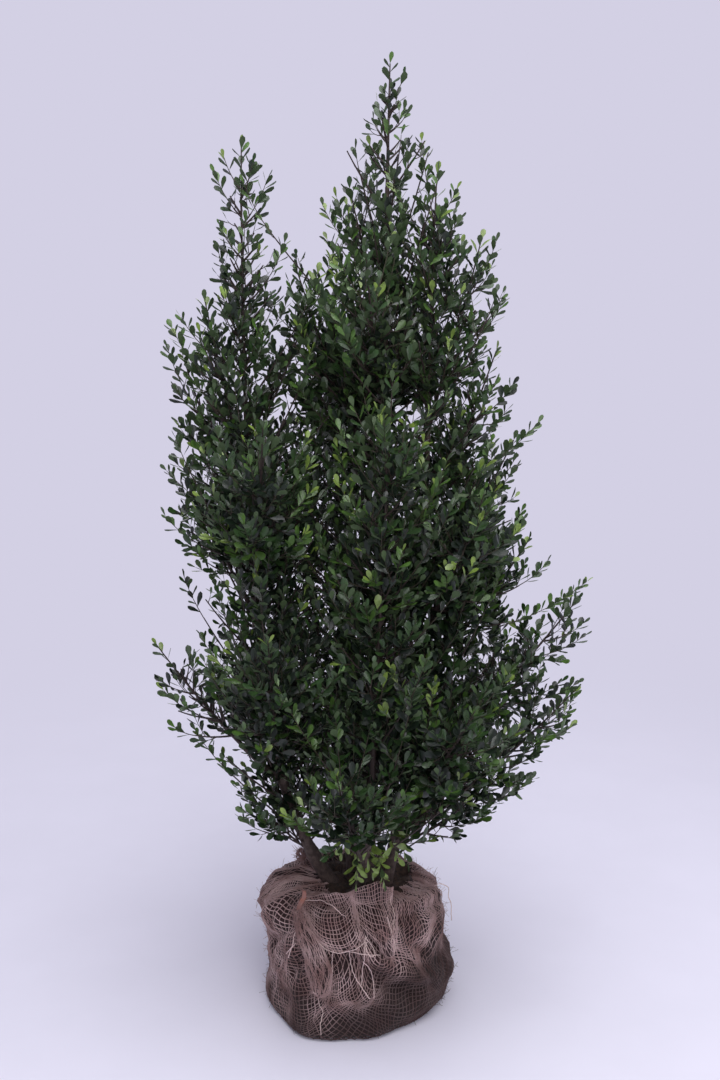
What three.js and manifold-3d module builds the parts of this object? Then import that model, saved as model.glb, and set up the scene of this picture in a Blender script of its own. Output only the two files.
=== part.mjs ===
// A small-leaved evergreen holly: several stems from one root, side boughs and masses of leafy twigs,
// standing on a root ball wrapped in hessian.
// Millimetres, +Z up, +X to the right of the front and +Y to the back.
// The origin is the middle of the flat underside of the root ball.
import * as THREE from "three";
import { mergeVertices } from "three/addons/utils/BufferGeometryUtils.js";
import Module from "manifold-3d";

const wasm = await Module();
wasm.setup();

// ---------------------------------------------------------------- driving dimensions

const vec = (x, y, z) => new THREE.Vector3(x, y, z);

const GAP = 0.3; // clearance between two pieces that meet
const CLOTH_GAP = 0.4; // clearance under a fold of cloth, whose faces lie less evenly
const UP = vec(0, 0, 1);

// Root ball: an uneven round sack, flat below, with a shallow dish on top where the stems leave it.
const BALL = {
  radius: 154,
  height: 208,
  footRadius: 143,
  dishRadius: 74,
  dishDepth: 11,
  segments: 26,
  foldDepth: 3.5,
  folds: 6,
  foldTwist: 0.012, // radians that the folds turn for each millimetre up
  foldsFrom: 0.35, // share of the height above which the cloth is gathered in folds
};
// The ball's outline between its foot and its dish: how far out each corner is, and its height.
const BALL_WALL = [
  [BALL.footRadius, 0],
  [BALL.radius - 1, 16],
  [BALL.radius + 3, 52],
  [BALL.radius, 98],
  [BALL.radius - 7, 142],
  [BALL.radius - 20, 176],
  [BALL.radius - 36, BALL.height - 13],
  [BALL.radius - 54, BALL.height - 2],
  [BALL.dishRadius + 10, BALL.height],
];
// How much wider or narrower than its outline the sack sits at four heights, round it from +X in equal steps.
const BALL_SPREAD = [
  { height: 0, shares: [0.98, 1.0, 1.0, 1.0, 1.03, 1.05, 1.07, 1.05, 1.14, 1.03, 0.91, 0.91] },
  { height: 50, shares: [1.01, 1.01, 1.0, 1.0, 1.0, 1.0, 0.99, 1.0, 1.05, 1.0, 0.95, 0.97] },
  { height: 110, shares: [0.89, 0.93, 0.97, 1.0, 1.02, 1.02, 1.01, 1.02, 1.02, 0.97, 0.93, 0.91] },
  { height: 195, shares: [1.04, 1.05, 1.06, 1.1, 1.14, 1.21, 1.25, 1.2, 1.06, 0.98, 1.0, 1.02] },
];

// Folds of cloth that hang on the ball: where each starts and ends round the ball (degrees from +X)
// and in height, how wide it is at both ends, and how thick.
const CLOTHS = [
  { name: "hessian_tail_left", from: [214, 202], to: [243, 50], width: [46, 32], thick: 20 },
  { name: "hessian_apron", from: [262, 203], to: [266, 92], width: [64, 46], thick: 12 },
  { name: "hessian_tail_right", from: [288, 190], to: [291, 84], width: [30, 20], thick: 12 },
];
const CLOTH = {
  steps: 4,
  sides: 7,
  endTaper: 0.6, // width and thickness at both ends, as a share
  proud: 0.1, // how far the middle of the fold stands off the ball, as a share of its thickness
};

// Stems: foot on the ball, tip of the bare wood, radius at foot and tip, and how soon each turns upright.
const STEMS = [
  { name: "stem_centre", foot: [10, 6], tip: [40, 20, 1292], radius: [11.5, 3.2], turn: 2.2 },
  { name: "stem_left", foot: [-49, 0], tip: [-171, -16, 990], radius: [9.5, 3.4], turn: 4 },
  { name: "stem_right", foot: [42, -6], tip: [104, -14, 1060], radius: [8.5, 3.2], turn: 3 },
  { name: "stem_front", foot: [-4, -40], tip: [18, -128, 420], radius: [7.5, 4.6], turn: 2 },
  { name: "stem_back", foot: [-12, 44], tip: [-34, 136, 560], radius: [8.5, 4.2], turn: 2 },
];
const STEM = {
  sides: 6,
  rings: 7,
  crowding: 1.4, // the rings crowd towards the foot, where the stem bends
  thinning: 0.8, // below 1, a stem thins sooner near its foot
  flare: 0.35,
  flareHeight: 38,
};

// Leafy limbs: the stem each grows from, the height it leaves it, the tip of its foliage, how far its
// foliage spreads, and the share of it that is a bare bough (0: the foliage starts on the stem itself).
const LIMBS = [
  { name: "left_top", stem: "stem_left", from: 870, tip: [-230, -34, 1150], spread: 84, bare: 0 },
  { name: "left_upper", stem: "stem_left", from: 770, tip: [-272, 14, 1064], spread: 96, bare: 0 },
  { name: "left_middle", stem: "stem_left", from: 650, tip: [-274, -8, 898], spread: 100, bare: 0.2 },
  { name: "left_reaching", stem: "stem_left", from: 370, tip: [-328, -14, 618], spread: 84, bare: 0.3 },
  { name: "left_low", stem: "stem_left", from: 246, tip: [-186, -30, 376], spread: 88, bare: 0 },
  { name: "left_front", stem: "stem_left", from: 680, tip: [-130, -222, 986], spread: 118, bare: 0.16 },
  { name: "left_front_low", stem: "stem_left", from: 400, tip: [-128, -240, 690], spread: 126, bare: 0.16 },
  { name: "left_back", stem: "stem_left", from: 630, tip: [-190, 200, 920], spread: 124, bare: 0.2 },
  { name: "left_back_low", stem: "stem_left", from: 330, tip: [-176, 206, 580], spread: 122, bare: 0.2 },
  { name: "centre_left", stem: "stem_centre", from: 840, tip: [-100, -12, 1196], spread: 104, bare: 0.14 },
  { name: "centre_front", stem: "stem_centre", from: 930, tip: [6, -140, 1220], spread: 106, bare: 0.14 },
  { name: "centre_back", stem: "stem_centre", from: 886, tip: [56, 168, 1220], spread: 112, bare: 0.14 },
  { name: "centre_high", stem: "stem_centre", from: 1090, tip: [-20, 30, 1312], spread: 78, bare: 0 },
  { name: "right_top", stem: "stem_right", from: 950, tip: [184, 10, 1238], spread: 92, bare: 0 },
  { name: "right_upper", stem: "stem_right", from: 800, tip: [210, -6, 1076], spread: 98, bare: 0 },
  { name: "right_middle", stem: "stem_right", from: 680, tip: [244, 16, 938], spread: 100, bare: 0.2 },
  { name: "right_lower", stem: "stem_right", from: 540, tip: [266, -34, 790], spread: 104, bare: 0.2 },
  { name: "right_reaching", stem: "stem_right", from: 390, tip: [352, 12, 684], spread: 92, bare: 0.24 },
  { name: "right_spreading", stem: "stem_right", from: 280, tip: [352, -14, 544], spread: 90, bare: 0.24 },
  { name: "right_low", stem: "stem_right", from: 258, tip: [226, -34, 396], spread: 82, bare: 0 },
  { name: "right_front", stem: "stem_right", from: 610, tip: [176, -204, 890], spread: 120, bare: 0.18 },
  { name: "right_front_low", stem: "stem_right", from: 330, tip: [168, -226, 580], spread: 124, bare: 0.2 },
  { name: "right_back", stem: "stem_right", from: 560, tip: [206, 196, 850], spread: 126, bare: 0.2 },
  { name: "right_back_low", stem: "stem_right", from: 300, tip: [204, 198, 540], spread: 124, bare: 0.2 },
  { name: "front_low", stem: "stem_front", from: 262, tip: [-36, -262, 500], spread: 120, bare: 0 },
  { name: "back_low", stem: "stem_back", from: 262, tip: [0, 272, 480], spread: 124, bare: 0 },
];
// Leaders: the leafy end of each stem.
const LEADERS = [
  { name: "centre_leader", stem: "stem_centre", tip: [44, 20, 1484], spread: 66 },
  { name: "left_leader", stem: "stem_left", tip: [-170, -18, 1368], spread: 78 },
  { name: "right_leader", stem: "stem_right", tip: [112, -16, 1328], spread: 92 },
  { name: "front_leader", stem: "stem_front", tip: [46, -156, 1042], spread: 124 },
  { name: "back_leader", stem: "stem_back", tip: [-40, 156, 1150], spread: 124 },
];

const BOUGH = {
  radiusPerLength: 0.019,
  leastRadius: 3.6,
  tipShare: 0.66, // radius at the end of the bare part, as a share of its start
  sides: 5,
  rings: 2,
  simplify: 0.1, // how far its cut end may be evened out
};
const LIMB_SAG = 0.1; // how far a limb's middle hangs below the straight line, as a share of its length
const SPINE = { sides: 3, rings: 3, tipRadius: 1.7 }; // the wood inside a mass of foliage
const TWIG = {
  spacing: 44, // along the spine
  first: 0.06, // share of the spine below the first twig
  turn: 137.5, // degrees round the spine from one twig to the next
  last: 0.94, // share of the spine below the last twig
  jitter: [0.3, 0.4], // where in its step a twig sits: the least share, and how much chance adds
  turnJitter: 30, // degrees
  angle: 50, // degrees off the spine
  angleJitter: 12, // degrees from the least to the most
  lift: 0.34, // how much a twig bends towards the light
  radius: [2.7, 1.6],
  reach: 0.56, // how far out the tips sit, as a share of the spread
  vigour: [0.8, 0.4], // the least share of the reach, and how much chance adds
  taperFrom: 0.35, // share of the spine beyond which the twigs get shorter
  taper: 0.72, // how much shorter the last twig is
  scales: [1, 0.78, 0.58, 0.4], // a twig that doesn't fit is tried shorter
  rooted: 0.12, // share of a twig that may touch the wood it grows from
  fewest: 4,
  sides: 3,
};
// One leaf stands for a whole leafy shoot, so it is larger than life.
const LEAF = {
  length: 84,
  width: 52,
  thick: 4.2,
  widest: 0.5, // where along it, as a share
  angle: 54, // degrees off its twig
  sunk: 0.4, // how deep its foot sits in the twig
  clear: 0.8, // least gap to a limb
  apart: 25, // least gap between the middles of two leaves
  places: [0.84, 0.62, 0.4], // where leaves leave a twig, as shares of it
  probes: [0.3, 0.55, 0.8, 1], // where along a leaf its gaps are taken
  faceTurn: 2.4, // radians that a twig's leaves are turned from the last twig's
  scales: [1, 0.76], // a leaf that doesn't fit is tried smaller
  atTip: 0.96, // how much of the end leaf stands beyond its spine
};
const LIMB_PROBE = 5; // distance between two places where the clearance of a limb is taken
const CELL_PIECES = 5; // straight pieces of a mass's middle line
const SKEW = vec(0.11, 0.07, 1); // nearly upright, so that no twig runs along it
const FULL_SPREAD = 108; // masses narrower than this have smaller leaves, closer together
const LEAST_SCALE = 0.7;
const CELL_MARGIN = 0.03; // clearance between neighbouring masses, as a share of the spread
const TIP_SHARE = 0.5; // a mass's width at its tip, as a share of its spread
const SEED = 20417;
const SEED_STEP = 97; // from one mass to the next

// ---------------------------------------------------------------- small helpers

const radians = THREE.MathUtils.degToRad;
const mix = (a, b, t) => a + (b - a) * t;

// Repeatable random numbers from 0 to 1.
function seeded(seed) {
  let state = seed % 4294967296;
  return () => {
    state = (1664525 * state + 1013904223) % 4294967296;
    return state / 4294967296;
  };
}

function indexed(positions, index) {
  const geometry = new THREE.BufferGeometry();
  geometry.setAttribute("position", new THREE.Float32BufferAttribute(positions, 3));
  geometry.setIndex(index);
  return geometry;
}

function solidFrom(geometry) {
  const bare = geometry.clone();
  bare.deleteAttribute("normal");
  bare.deleteAttribute("uv");
  const merged = mergeVertices(bare, 1e-4);
  return new wasm.Manifold(
    new wasm.Mesh({
      numProp: 3,
      vertProperties: merged.attributes.position.array,
      triVerts: new Uint32Array(merged.index.array),
    }),
  );
}

function geometryFrom(solid) {
  const mesh = solid.getMesh();
  const positions = [];
  for (let i = 0; i < mesh.numVert; i++)
    positions.push(...mesh.vertProperties.subarray(i * mesh.numProp, i * mesh.numProp + 3));
  const geometry = indexed(positions, Array.from(mesh.triVerts));
  geometry.computeVertexNormals();
  return geometry;
}

// The largest of a solid's separate bodies: a scrap that a cut leaves loose is dropped.
function largestBody(solid) {
  return solid.decompose().sort((a, b) => b.volume() - a.volume())[0];
}

// Faces that close rings of `sides` points into a solid with flat ends.
function ringFaces(rings, sides) {
  const index = [];
  const last = rings - 1;
  for (let i = 0; i < last; i++)
    for (let j = 0; j < sides; j++) {
      const a = i * sides + j;
      const b = i * sides + ((j + 1) % sides);
      index.push(a, b, b + sides, a, b + sides, a + sides);
    }
  for (let j = 1; j < sides - 1; j++) {
    index.push(0, j + 1, j);
    index.push(last * sides, last * sides + j, last * sides + j + 1);
  }
  return index;
}

// A closed tapering tube: a ring of `sides` points round each centre.
function tube(centres, radii, sides) {
  const positions = [];
  const last = centres.length - 1;
  let side = null;
  centres.forEach((centre, i) => {
    const after = centres[Math.min(i + 1, last)];
    const along = after.clone().sub(centres[Math.max(i - 1, 0)]).normalize();
    if (!side) side = Math.abs(along.y) < 0.9 ? vec(along.z, 0, -along.x) : vec(1, 0, 0);
    side.addScaledVector(along, -side.dot(along)).normalize();
    const other = along.clone().cross(side);
    for (let j = 0; j < sides; j++) {
      const angle = (2 * Math.PI * j) / sides;
      const point = centre.clone().addScaledVector(side, radii[i] * Math.cos(angle));
      point.addScaledVector(other, radii[i] * Math.sin(angle));
      positions.push(...point.toArray());
    }
  });
  return indexed(positions, ringFaces(centres.length, sides));
}

// ---------------------------------------------------------------- root ball and cloth

// A value from a ring of equally spaced ones, at a share of a full turn.
function aroundRing(values, turn) {
  const place = turn * values.length;
  const step = Math.floor(place);
  const ease = THREE.MathUtils.smoothstep(place - step, 0, 1);
  return mix(values[step % values.length], values[(step + 1) % values.length], ease);
}

// How far the sack spreads and folds at an angle round it and a height.
function bulge(angle, height) {
  const turn = (((angle / (2 * Math.PI)) % 1) + 1) % 1;
  const above = BALL_SPREAD.findIndex((level) => height < level.height);
  const i = above < 0 ? BALL_SPREAD.length - 1 : Math.max(1, above);
  const [lower, upper] = [BALL_SPREAD[i - 1], BALL_SPREAD[i]];
  const rise = THREE.MathUtils.smoothstep(height, lower.height, upper.height);
  const spread = mix(aroundRing(lower.shares, turn), aroundRing(upper.shares, turn), rise);
  const share = THREE.MathUtils.smoothstep(height, BALL.foldsFrom * BALL.height, BALL.height);
  const turned = BALL.folds * angle + BALL.foldTwist * height;
  return spread + (BALL.foldDepth / BALL.radius) * share * Math.cos(turned);
}

function ballProfile() {
  const floor = BALL.height - BALL.dishDepth;
  const points = [[0, 0], ...BALL_WALL, [BALL.dishRadius, floor], [0, floor]];
  return points.map(([r, z]) => new THREE.Vector2(r, z));
}

// The sack's surface, pushed out all over by `grow`.
function ballGeometry(grow) {
  const lathe = new THREE.LatheGeometry(ballProfile(), BALL.segments);
  lathe.rotateX(Math.PI / 2);
  lathe.deleteAttribute("normal");
  lathe.deleteAttribute("uv");
  const geometry = mergeVertices(lathe, 1e-3);
  const place = geometry.attributes.position;
  for (let i = 0; i < place.count; i++) {
    const [x, y, z] = [place.getX(i), place.getY(i), place.getZ(i)];
    const factor = Math.hypot(x, y) < BALL.dishRadius + 1 ? 1 : bulge(Math.atan2(y, x), z);
    place.setXYZ(i, x * factor, y * factor, z);
  }
  geometry.computeVertexNormals();
  const normal = geometry.attributes.normal;
  for (let i = 0; i < place.count; i++) {
    const [x, y, z] = [normal.getX(i), normal.getY(i), normal.getZ(i)].map((n) => n * grow);
    place.setXYZ(i, place.getX(i) + x, place.getY(i) + y, place.getZ(i) + z);
  }
  return geometry;
}

// The sack's radius at a height, before it spreads and folds.
function ballRadius(height) {
  const i = BALL_WALL.findIndex(([, z]) => height <= z);
  const [below, above] = [BALL_WALL[i - 1], BALL_WALL[i]];
  return mix(below[0], above[0], (height - below[1]) / (above[1] - below[1]));
}

// A hanging fold of cloth: a flat tube laid on the ball's side, and cut back to clear it.
function clothSolid({ from, to, width, thick }, ballGrown) {
  const centres = [];
  const outs = [];
  for (let i = 0; i <= CLOTH.steps; i++) {
    const t = i / CLOTH.steps;
    const angle = radians(mix(from[0], to[0], t));
    const height = mix(from[1], to[1], t);
    const reach = ballRadius(height) * bulge(angle, height) + CLOTH.proud * thick;
    outs.push(vec(Math.cos(angle), Math.sin(angle), 0));
    centres.push(outs[i].clone().multiplyScalar(reach).setZ(height));
  }
  const positions = [];
  centres.forEach((centre, i) => {
    const after = centres[Math.min(i + 1, CLOTH.steps)];
    const along = after.clone().sub(centres[Math.max(i - 1, 0)]).normalize();
    const across = outs[i].clone().cross(along).normalize();
    const normal = along.clone().cross(across);
    const half = 0.5 * (i === 0 || i === CLOTH.steps ? CLOTH.endTaper : 1);
    const halfWidth = half * mix(width[0], width[1], i / CLOTH.steps);
    for (let j = 0; j < CLOTH.sides; j++) {
      const a = (2 * Math.PI * j) / CLOTH.sides;
      const point = centre.clone().addScaledVector(normal, half * thick * Math.sin(a));
      point.addScaledVector(across, halfWidth * Math.cos(a));
      positions.push(...point.toArray());
    }
  });
  const fold = solidFrom(indexed(positions, ringFaces(centres.length, CLOTH.sides)));
  return largestBody(fold.subtract(ballGrown));
}

// ---------------------------------------------------------------- stems, boughs and spines

const FOOT = BALL.height - BALL.dishDepth + GAP;
const stemByName = new Map(STEMS.map((stem) => [stem.name, stem]));

// Where a stem's centre is at a height: it leans out at once and then turns upright.
function stemPoint(stem, height) {
  const t = (height - FOOT) / (stem.tip[2] - FOOT);
  const lean = (1 - Math.exp(-stem.turn * t)) / (1 - Math.exp(-stem.turn));
  return vec(mix(stem.foot[0], stem.tip[0], lean), mix(stem.foot[1], stem.tip[1], lean), height);
}

function stemRadius(stem, height) {
  const t = (height - FOOT) / (stem.tip[2] - FOOT);
  const flare = 1 + STEM.flare * Math.exp(-(height - FOOT) / STEM.flareHeight);
  return mix(stem.radius[0], stem.radius[1], t ** STEM.thinning) * flare;
}

function stemRings(stem) {
  return Array.from({ length: STEM.rings + 1 }, (_, i) =>
    stemPoint(stem, mix(FOOT, stem.tip[2], (i / STEM.rings) ** STEM.crowding)),
  );
}

function stemGeometry(stem, grow) {
  const rings = stemRings(stem);
  const geometry = tube(rings, rings.map((p) => stemRadius(stem, p.z) + grow), STEM.sides);
  // The foot ring lies flat on the ball.
  const place = geometry.attributes.position;
  for (let j = 0; j < STEM.sides; j++) place.setZ(j, FOOT);
  return geometry;
}

// The curve that a limb's bough and spine share: it leaves flat and turns up towards its tip.
function limbCurve(limb) {
  const start = stemPoint(stemByName.get(limb.stem), limb.from);
  const tip = vec(...limb.tip);
  const middle = start.clone().lerp(tip, 0.5).addScaledVector(UP, -LIMB_SAG * start.distanceTo(tip));
  return new THREE.QuadraticBezierCurve3(start, middle, tip);
}

function leaderCurve(leader) {
  const stem = stemByName.get(leader.stem);
  const start = stemPoint(stem, stem.tip[2]);
  const along = start.clone().sub(stemRings(stem).at(-2)).normalize();
  const tip = vec(...leader.tip);
  const middle = start.clone().addScaledVector(along, 0.5 * start.distanceTo(tip));
  return new THREE.QuadraticBezierCurve3(start.addScaledVector(along, GAP), middle, tip);
}

function curvePoints(curve, from, to, count) {
  return Array.from({ length: count + 1 }, (_, i) => curve.getPoint(mix(from, to, i / count)));
}

function boughRadii(curve) {
  const base = Math.max(BOUGH.leastRadius, BOUGH.radiusPerLength * curve.getLength());
  return [base, base * BOUGH.tipShare];
}

// ---------------------------------------------------------------- foliage

// Where along a straight piece it comes nearest a point, from 0 to 1.
function shareOfPiece(point, a, b) {
  const piece = b.clone().sub(a);
  return THREE.MathUtils.clamp(point.clone().sub(a).dot(piece) / piece.lengthSq(), 0, 1);
}

// True if a straight piece of the given half width passes clear of every limb in the list.
function clearOfLimbs(a, b, halfWidth, limbs) {
  const steps = Math.max(2, Math.ceil(a.distanceTo(b) / LIMB_PROBE));
  for (let i = 0; i <= steps; i++) {
    const point = a.clone().lerp(b, i / steps);
    for (const { line, radii } of limbs)
      for (let k = 0; k < line.length - 1; k++) {
        const nearest = line[k].clone().lerp(line[k + 1], shareOfPiece(point, line[k], line[k + 1]));
        if (nearest.distanceTo(point) < radii[k] + halfWidth + LEAF.clear) return false;
      }
  }
  return true;
}

// How far out a point is in a mass's space: 0 on its middle line, 1 at its edge. It narrows to its tip.
function outwardness(point, { middle, spread }) {
  const narrowing = (i) => Math.max(0, (2 * i) / (middle.length - 1) - 1);
  const widths = middle.map((_, i) => spread * mix(1, TIP_SHARE, narrowing(i)));
  return Math.min(
    ...middle.slice(1).map((end, i) => {
      const share = shareOfPiece(point, middle[i], end);
      const nearest = middle[i].clone().lerp(end, share);
      return nearest.distanceTo(point) / mix(widths[i], widths[i + 1], share);
    }),
  );
}

// True if a point lies in a mass's own space and further out in every other.
function inOwnSpace(point, mass, masses) {
  const own = outwardness(point, mass);
  const clear = (other) => other === mass || outwardness(point, other) > own + CELL_MARGIN;
  return own < 1 && masses.every(clear);
}

// A leaf: flat below and ridged above, from its foot to its tip.
function leafGeometry(foot, along, face, scale) {
  const across = along.clone().cross(face).normalize();
  const normal = across.clone().cross(along);
  const length = LEAF.length * scale;
  const middle = foot.clone().addScaledVector(along, LEAF.widest * length);
  const half = 0.5 * LEAF.width * scale;
  const points = [
    foot,
    foot.clone().addScaledVector(along, length),
    middle.clone().addScaledVector(across, half),
    middle.clone().addScaledVector(across, -half),
    middle.clone().addScaledVector(normal, LEAF.thick * scale),
  ];
  const [start, end, right, left, ridge] = [0, 1, 2, 3, 4];
  const faces = [
    [start, right, ridge],
    [start, ridge, left],
    [end, ridge, right],
    [end, left, ridge],
    [start, left, right],
    [end, right, left],
  ];
  return { geometry: indexed(points.flatMap((p) => p.toArray()), faces.flat()), points };
}

// Directions at a place on a spine: along it, level across it, and up from it.
function frameAt(curve, t) {
  const along = curve.getTangent(t).normalize();
  const across = along.clone().cross(Math.abs(along.z) > 0.97 ? vec(0, 1, 0) : UP).normalize();
  return { along, across, above: across.clone().cross(along) };
}

// The direction that leans off `along` by an angle, towards `side`.
function leaning(along, side, angle) {
  return along.clone().multiplyScalar(Math.cos(angle)).addScaledVector(side, Math.sin(angle));
}

// The twigs of a mass by its seeded rule: where each starts, the ways it leaves and ends, and its reach.
function twigsOf(mass) {
  const random = seeded(SEED + SEED_STEP * mass.number);
  const chance = ([least, spread]) => least + spread * random();
  const length = mass.curve.getLength() * (1 - mass.start);
  const count = Math.max(TWIG.fewest, Math.round(length / (TWIG.spacing * mass.scale)));
  return Array.from({ length: count }, (_, k) => {
    const share = mix(TWIG.first, TWIG.last, (k + chance(TWIG.jitter)) / count);
    const t = mix(mass.start, mass.end, share);
    const { along, across, above } = frameAt(mass.curve, t);
    const turn = radians(TWIG.turn * k + TWIG.turnJitter * random());
    const angle = radians(TWIG.angle + TWIG.angleJitter * (random() - 0.5));
    const heading = leaning(along, leaning(across, above, turn), angle);
    const lifted = heading.clone().addScaledVector(UP, TWIG.lift).normalize();
    const towardsTip = Math.max(0, share - TWIG.taperFrom) / (1 - TWIG.taperFrom);
    const taper = 1 - TWIG.taper * towardsTip;
    const reach = (mass.spread * TWIG.reach * taper * chance(TWIG.vigour)) / Math.sin(angle);
    return { foot: mass.curve.getPoint(t), heading, lifted, reach };
  });
}

// The leaves of one mass: each is kept only where it fits, and the pieces of those kept are gathered.
class Leafage {
  constructor(mass, masses, limbs) {
    this.mass = mass;
    this.masses = masses;
    this.limbs = limbs;
    this.pieces = [];
    this.taken = [];
  }

  holds(points) {
    return points.every((p) => inOwnSpace(p, this.mass, this.masses));
  }

  crowded(places) {
    const apart = LEAF.apart * this.mass.scale;
    return places.some((a) => this.taken.some((b) => a.distanceTo(b) < apart));
  }

  // Adds a leaf, smaller where it has to be. Returns true if one fits.
  add(foot, along, face) {
    for (const size of LEAF.scales) {
      const scale = size * this.mass.scale;
      const sunk = foot.clone().addScaledVector(along, -LEAF.sunk);
      const { geometry, points } = leafGeometry(sunk, along, face, scale);
      const places = LEAF.probes.map((share) => foot.clone().lerp(points[1], share));
      if (!this.holds(points.slice(1)) || this.crowded(places)) continue;
      const halfWidth = 0.5 * LEAF.width * scale;
      if (!clearOfLimbs(places[0], points[1], halfWidth, this.limbs)) continue;
      this.taken.push(...places);
      this.pieces.push(solidFrom(geometry));
      return true;
    }
    return false;
  }

  // Adds the leaves of one twig: one at its tip, and one to a side at each of its places.
  addTwigLeaves(foot, tip, lifted, number) {
    const level = lifted.clone().cross(SKEW).normalize();
    const upward = level.clone().cross(lifted);
    // Leaf faces turn from one twig to the next, so that the crown is as full from every side.
    const face = leaning(level, upward, LEAF.faceTurn * number);
    const flat = face.clone().cross(lifted).normalize();
    let fitted = this.add(tip, lifted, face);
    LEAF.places.forEach((place, i) => {
      const start = foot.clone().lerp(tip, place);
      for (const way of i % 2 ? [-1, 1] : [1, -1]) {
        const along = leaning(lifted, flat, way * radians(LEAF.angle)).normalize();
        if (!this.add(start, along, face)) continue;
        fitted = true;
        break;
      }
    });
    return fitted;
  }
}

// One mass of foliage: a spine, twigs branching from it, and leaves sunk into the twigs.
function foliageSolid(mass, masses, limbs) {
  const leafage = new Leafage(mass, masses, limbs);
  const wood = [solidFrom(tube(mass.line, mass.radii, SPINE.sides))];
  const end = frameAt(mass.curve, 1);
  leafage.add(mass.line.at(-1), end.along, end.above);
  twigsOf(mass).forEach(({ foot, heading, lifted, reach }, number) => {
    for (const share of TWIG.scales) {
      const half = 0.5 * reach * share;
      const tip = foot.clone().addScaledVector(heading, half).addScaledVector(lifted, half);
      const middle = foot.clone().lerp(tip, 0.5);
      const clearFrom = foot.clone().lerp(tip, TWIG.rooted);
      if (!leafage.holds([middle, tip])) continue;
      if (!clearOfLimbs(clearFrom, tip, TWIG.radius[0], limbs)) continue;
      if (!leafage.addTwigLeaves(foot, tip, lifted, number)) continue;
      wood.push(solidFrom(tube([foot, tip], TWIG.radius, TWIG.sides)));
      break;
    }
  });
  return largestBody(wasm.Manifold.union([...wood, ...leafage.pieces]));
}

// ---------------------------------------------------------------- assembly

const MATERIALS = {
  hessian: new THREE.MeshStandardMaterial({ color: 0x8a7460, roughness: 0.95, metalness: 0 }),
  bark: new THREE.MeshStandardMaterial({ color: 0x5a4a3e, roughness: 0.85, metalness: 0 }),
  leaf: new THREE.MeshStandardMaterial({ color: 0x2f4a2c, roughness: 0.45, metalness: 0 }),
};

function named(name, geometry, material) {
  const mesh = new THREE.Mesh(geometry, MATERIALS[material]);
  mesh.name = name;
  return mesh;
}

const holly = new THREE.Group();
holly.name = "holly_on_root_ball";

const rootBall = new THREE.Group();
rootBall.add(named("root_ball", ballGeometry(0), "hessian"));
const ballGrown = solidFrom(ballGeometry(CLOTH_GAP));
for (const cloth of CLOTHS) {
  const solid = clothSolid(cloth, ballGrown);
  rootBall.add(named(cloth.name, geometryFrom(solid), "hessian"));
}
holly.add(rootBall);

// Stems and boughs, with the lines that foliage has to keep clear of.
const wood = new THREE.Group();
const limbLines = [];
for (const stem of STEMS) {
  wood.add(named(stem.name, stemGeometry(stem, 0), "bark"));
  const line = stemRings(stem);
  limbLines.push({ line, radii: line.map((p) => stemRadius(stem, p.z)) });
}
const masses = [];
for (const limb of LIMBS) {
  const curve = limbCurve(limb);
  const [base, tip] = boughRadii(curve);
  const stemGrown = solidFrom(stemGeometry(stemByName.get(limb.stem), GAP));
  const mass = { ...limb, curve, start: limb.bare, base: tip, cut: stemGrown };
  if (limb.bare > 0) {
    const line = curvePoints(curve, 0, limb.bare, BOUGH.rings);
    const radii = line.map((_, i) => mix(base, tip, i / BOUGH.rings));
    const whole = solidFrom(tube(line, radii, BOUGH.sides));
    const bough = largestBody(whole.subtract(stemGrown).simplify(BOUGH.simplify));
    wood.add(named("bough_" + limb.name, geometryFrom(bough), "bark"));
    limbLines.push({ line, radii });
    mass.start += GAP / curve.getLength();
  }
  masses.push(mass);
}
for (const leader of LEADERS) {
  const base = stemByName.get(leader.stem).radius[1];
  masses.push({ ...leader, curve: leaderCurve(leader), start: 0, base });
}
holly.add(wood);

masses.forEach((mass, number) => {
  mass.number = number;
  // A spine ends short of its tip by the leaf that reaches it.
  mass.scale = Math.max(LEAST_SCALE, Math.min(1, mass.spread / FULL_SPREAD));
  mass.end = 1 - (LEAF.atTip * LEAF.length * mass.scale) / mass.curve.getLength();
  mass.middle = curvePoints(mass.curve, mass.start, 1, CELL_PIECES);
  mass.line = curvePoints(mass.curve, mass.start, mass.end, SPINE.rings);
  mass.radii = mass.line.map((_, i) => mix(mass.base, SPINE.tipRadius, i / SPINE.rings));
});
const crown = new THREE.Group();
for (const mass of masses) {
  const grown = foliageSolid(mass, masses, limbLines);
  const solid = mass.cut ? largestBody(grown.subtract(mass.cut)) : grown;
  crown.add(named("foliage_" + mass.name, geometryFrom(solid), "leaf"));
}
holly.add(crown);

export default holly;
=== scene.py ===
"""A small-leaved evergreen holly on its root ball, dressed over the packed solids.

The stems and boughs get a bark with relief, each mass of foliage becomes twigs, shoots and leaves grown by
the source's rule, and the root ball becomes earth in a sheet of woven hessian. Metres, +Z up.
"""

import math
from collections import namedtuple
from functools import cache

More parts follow.
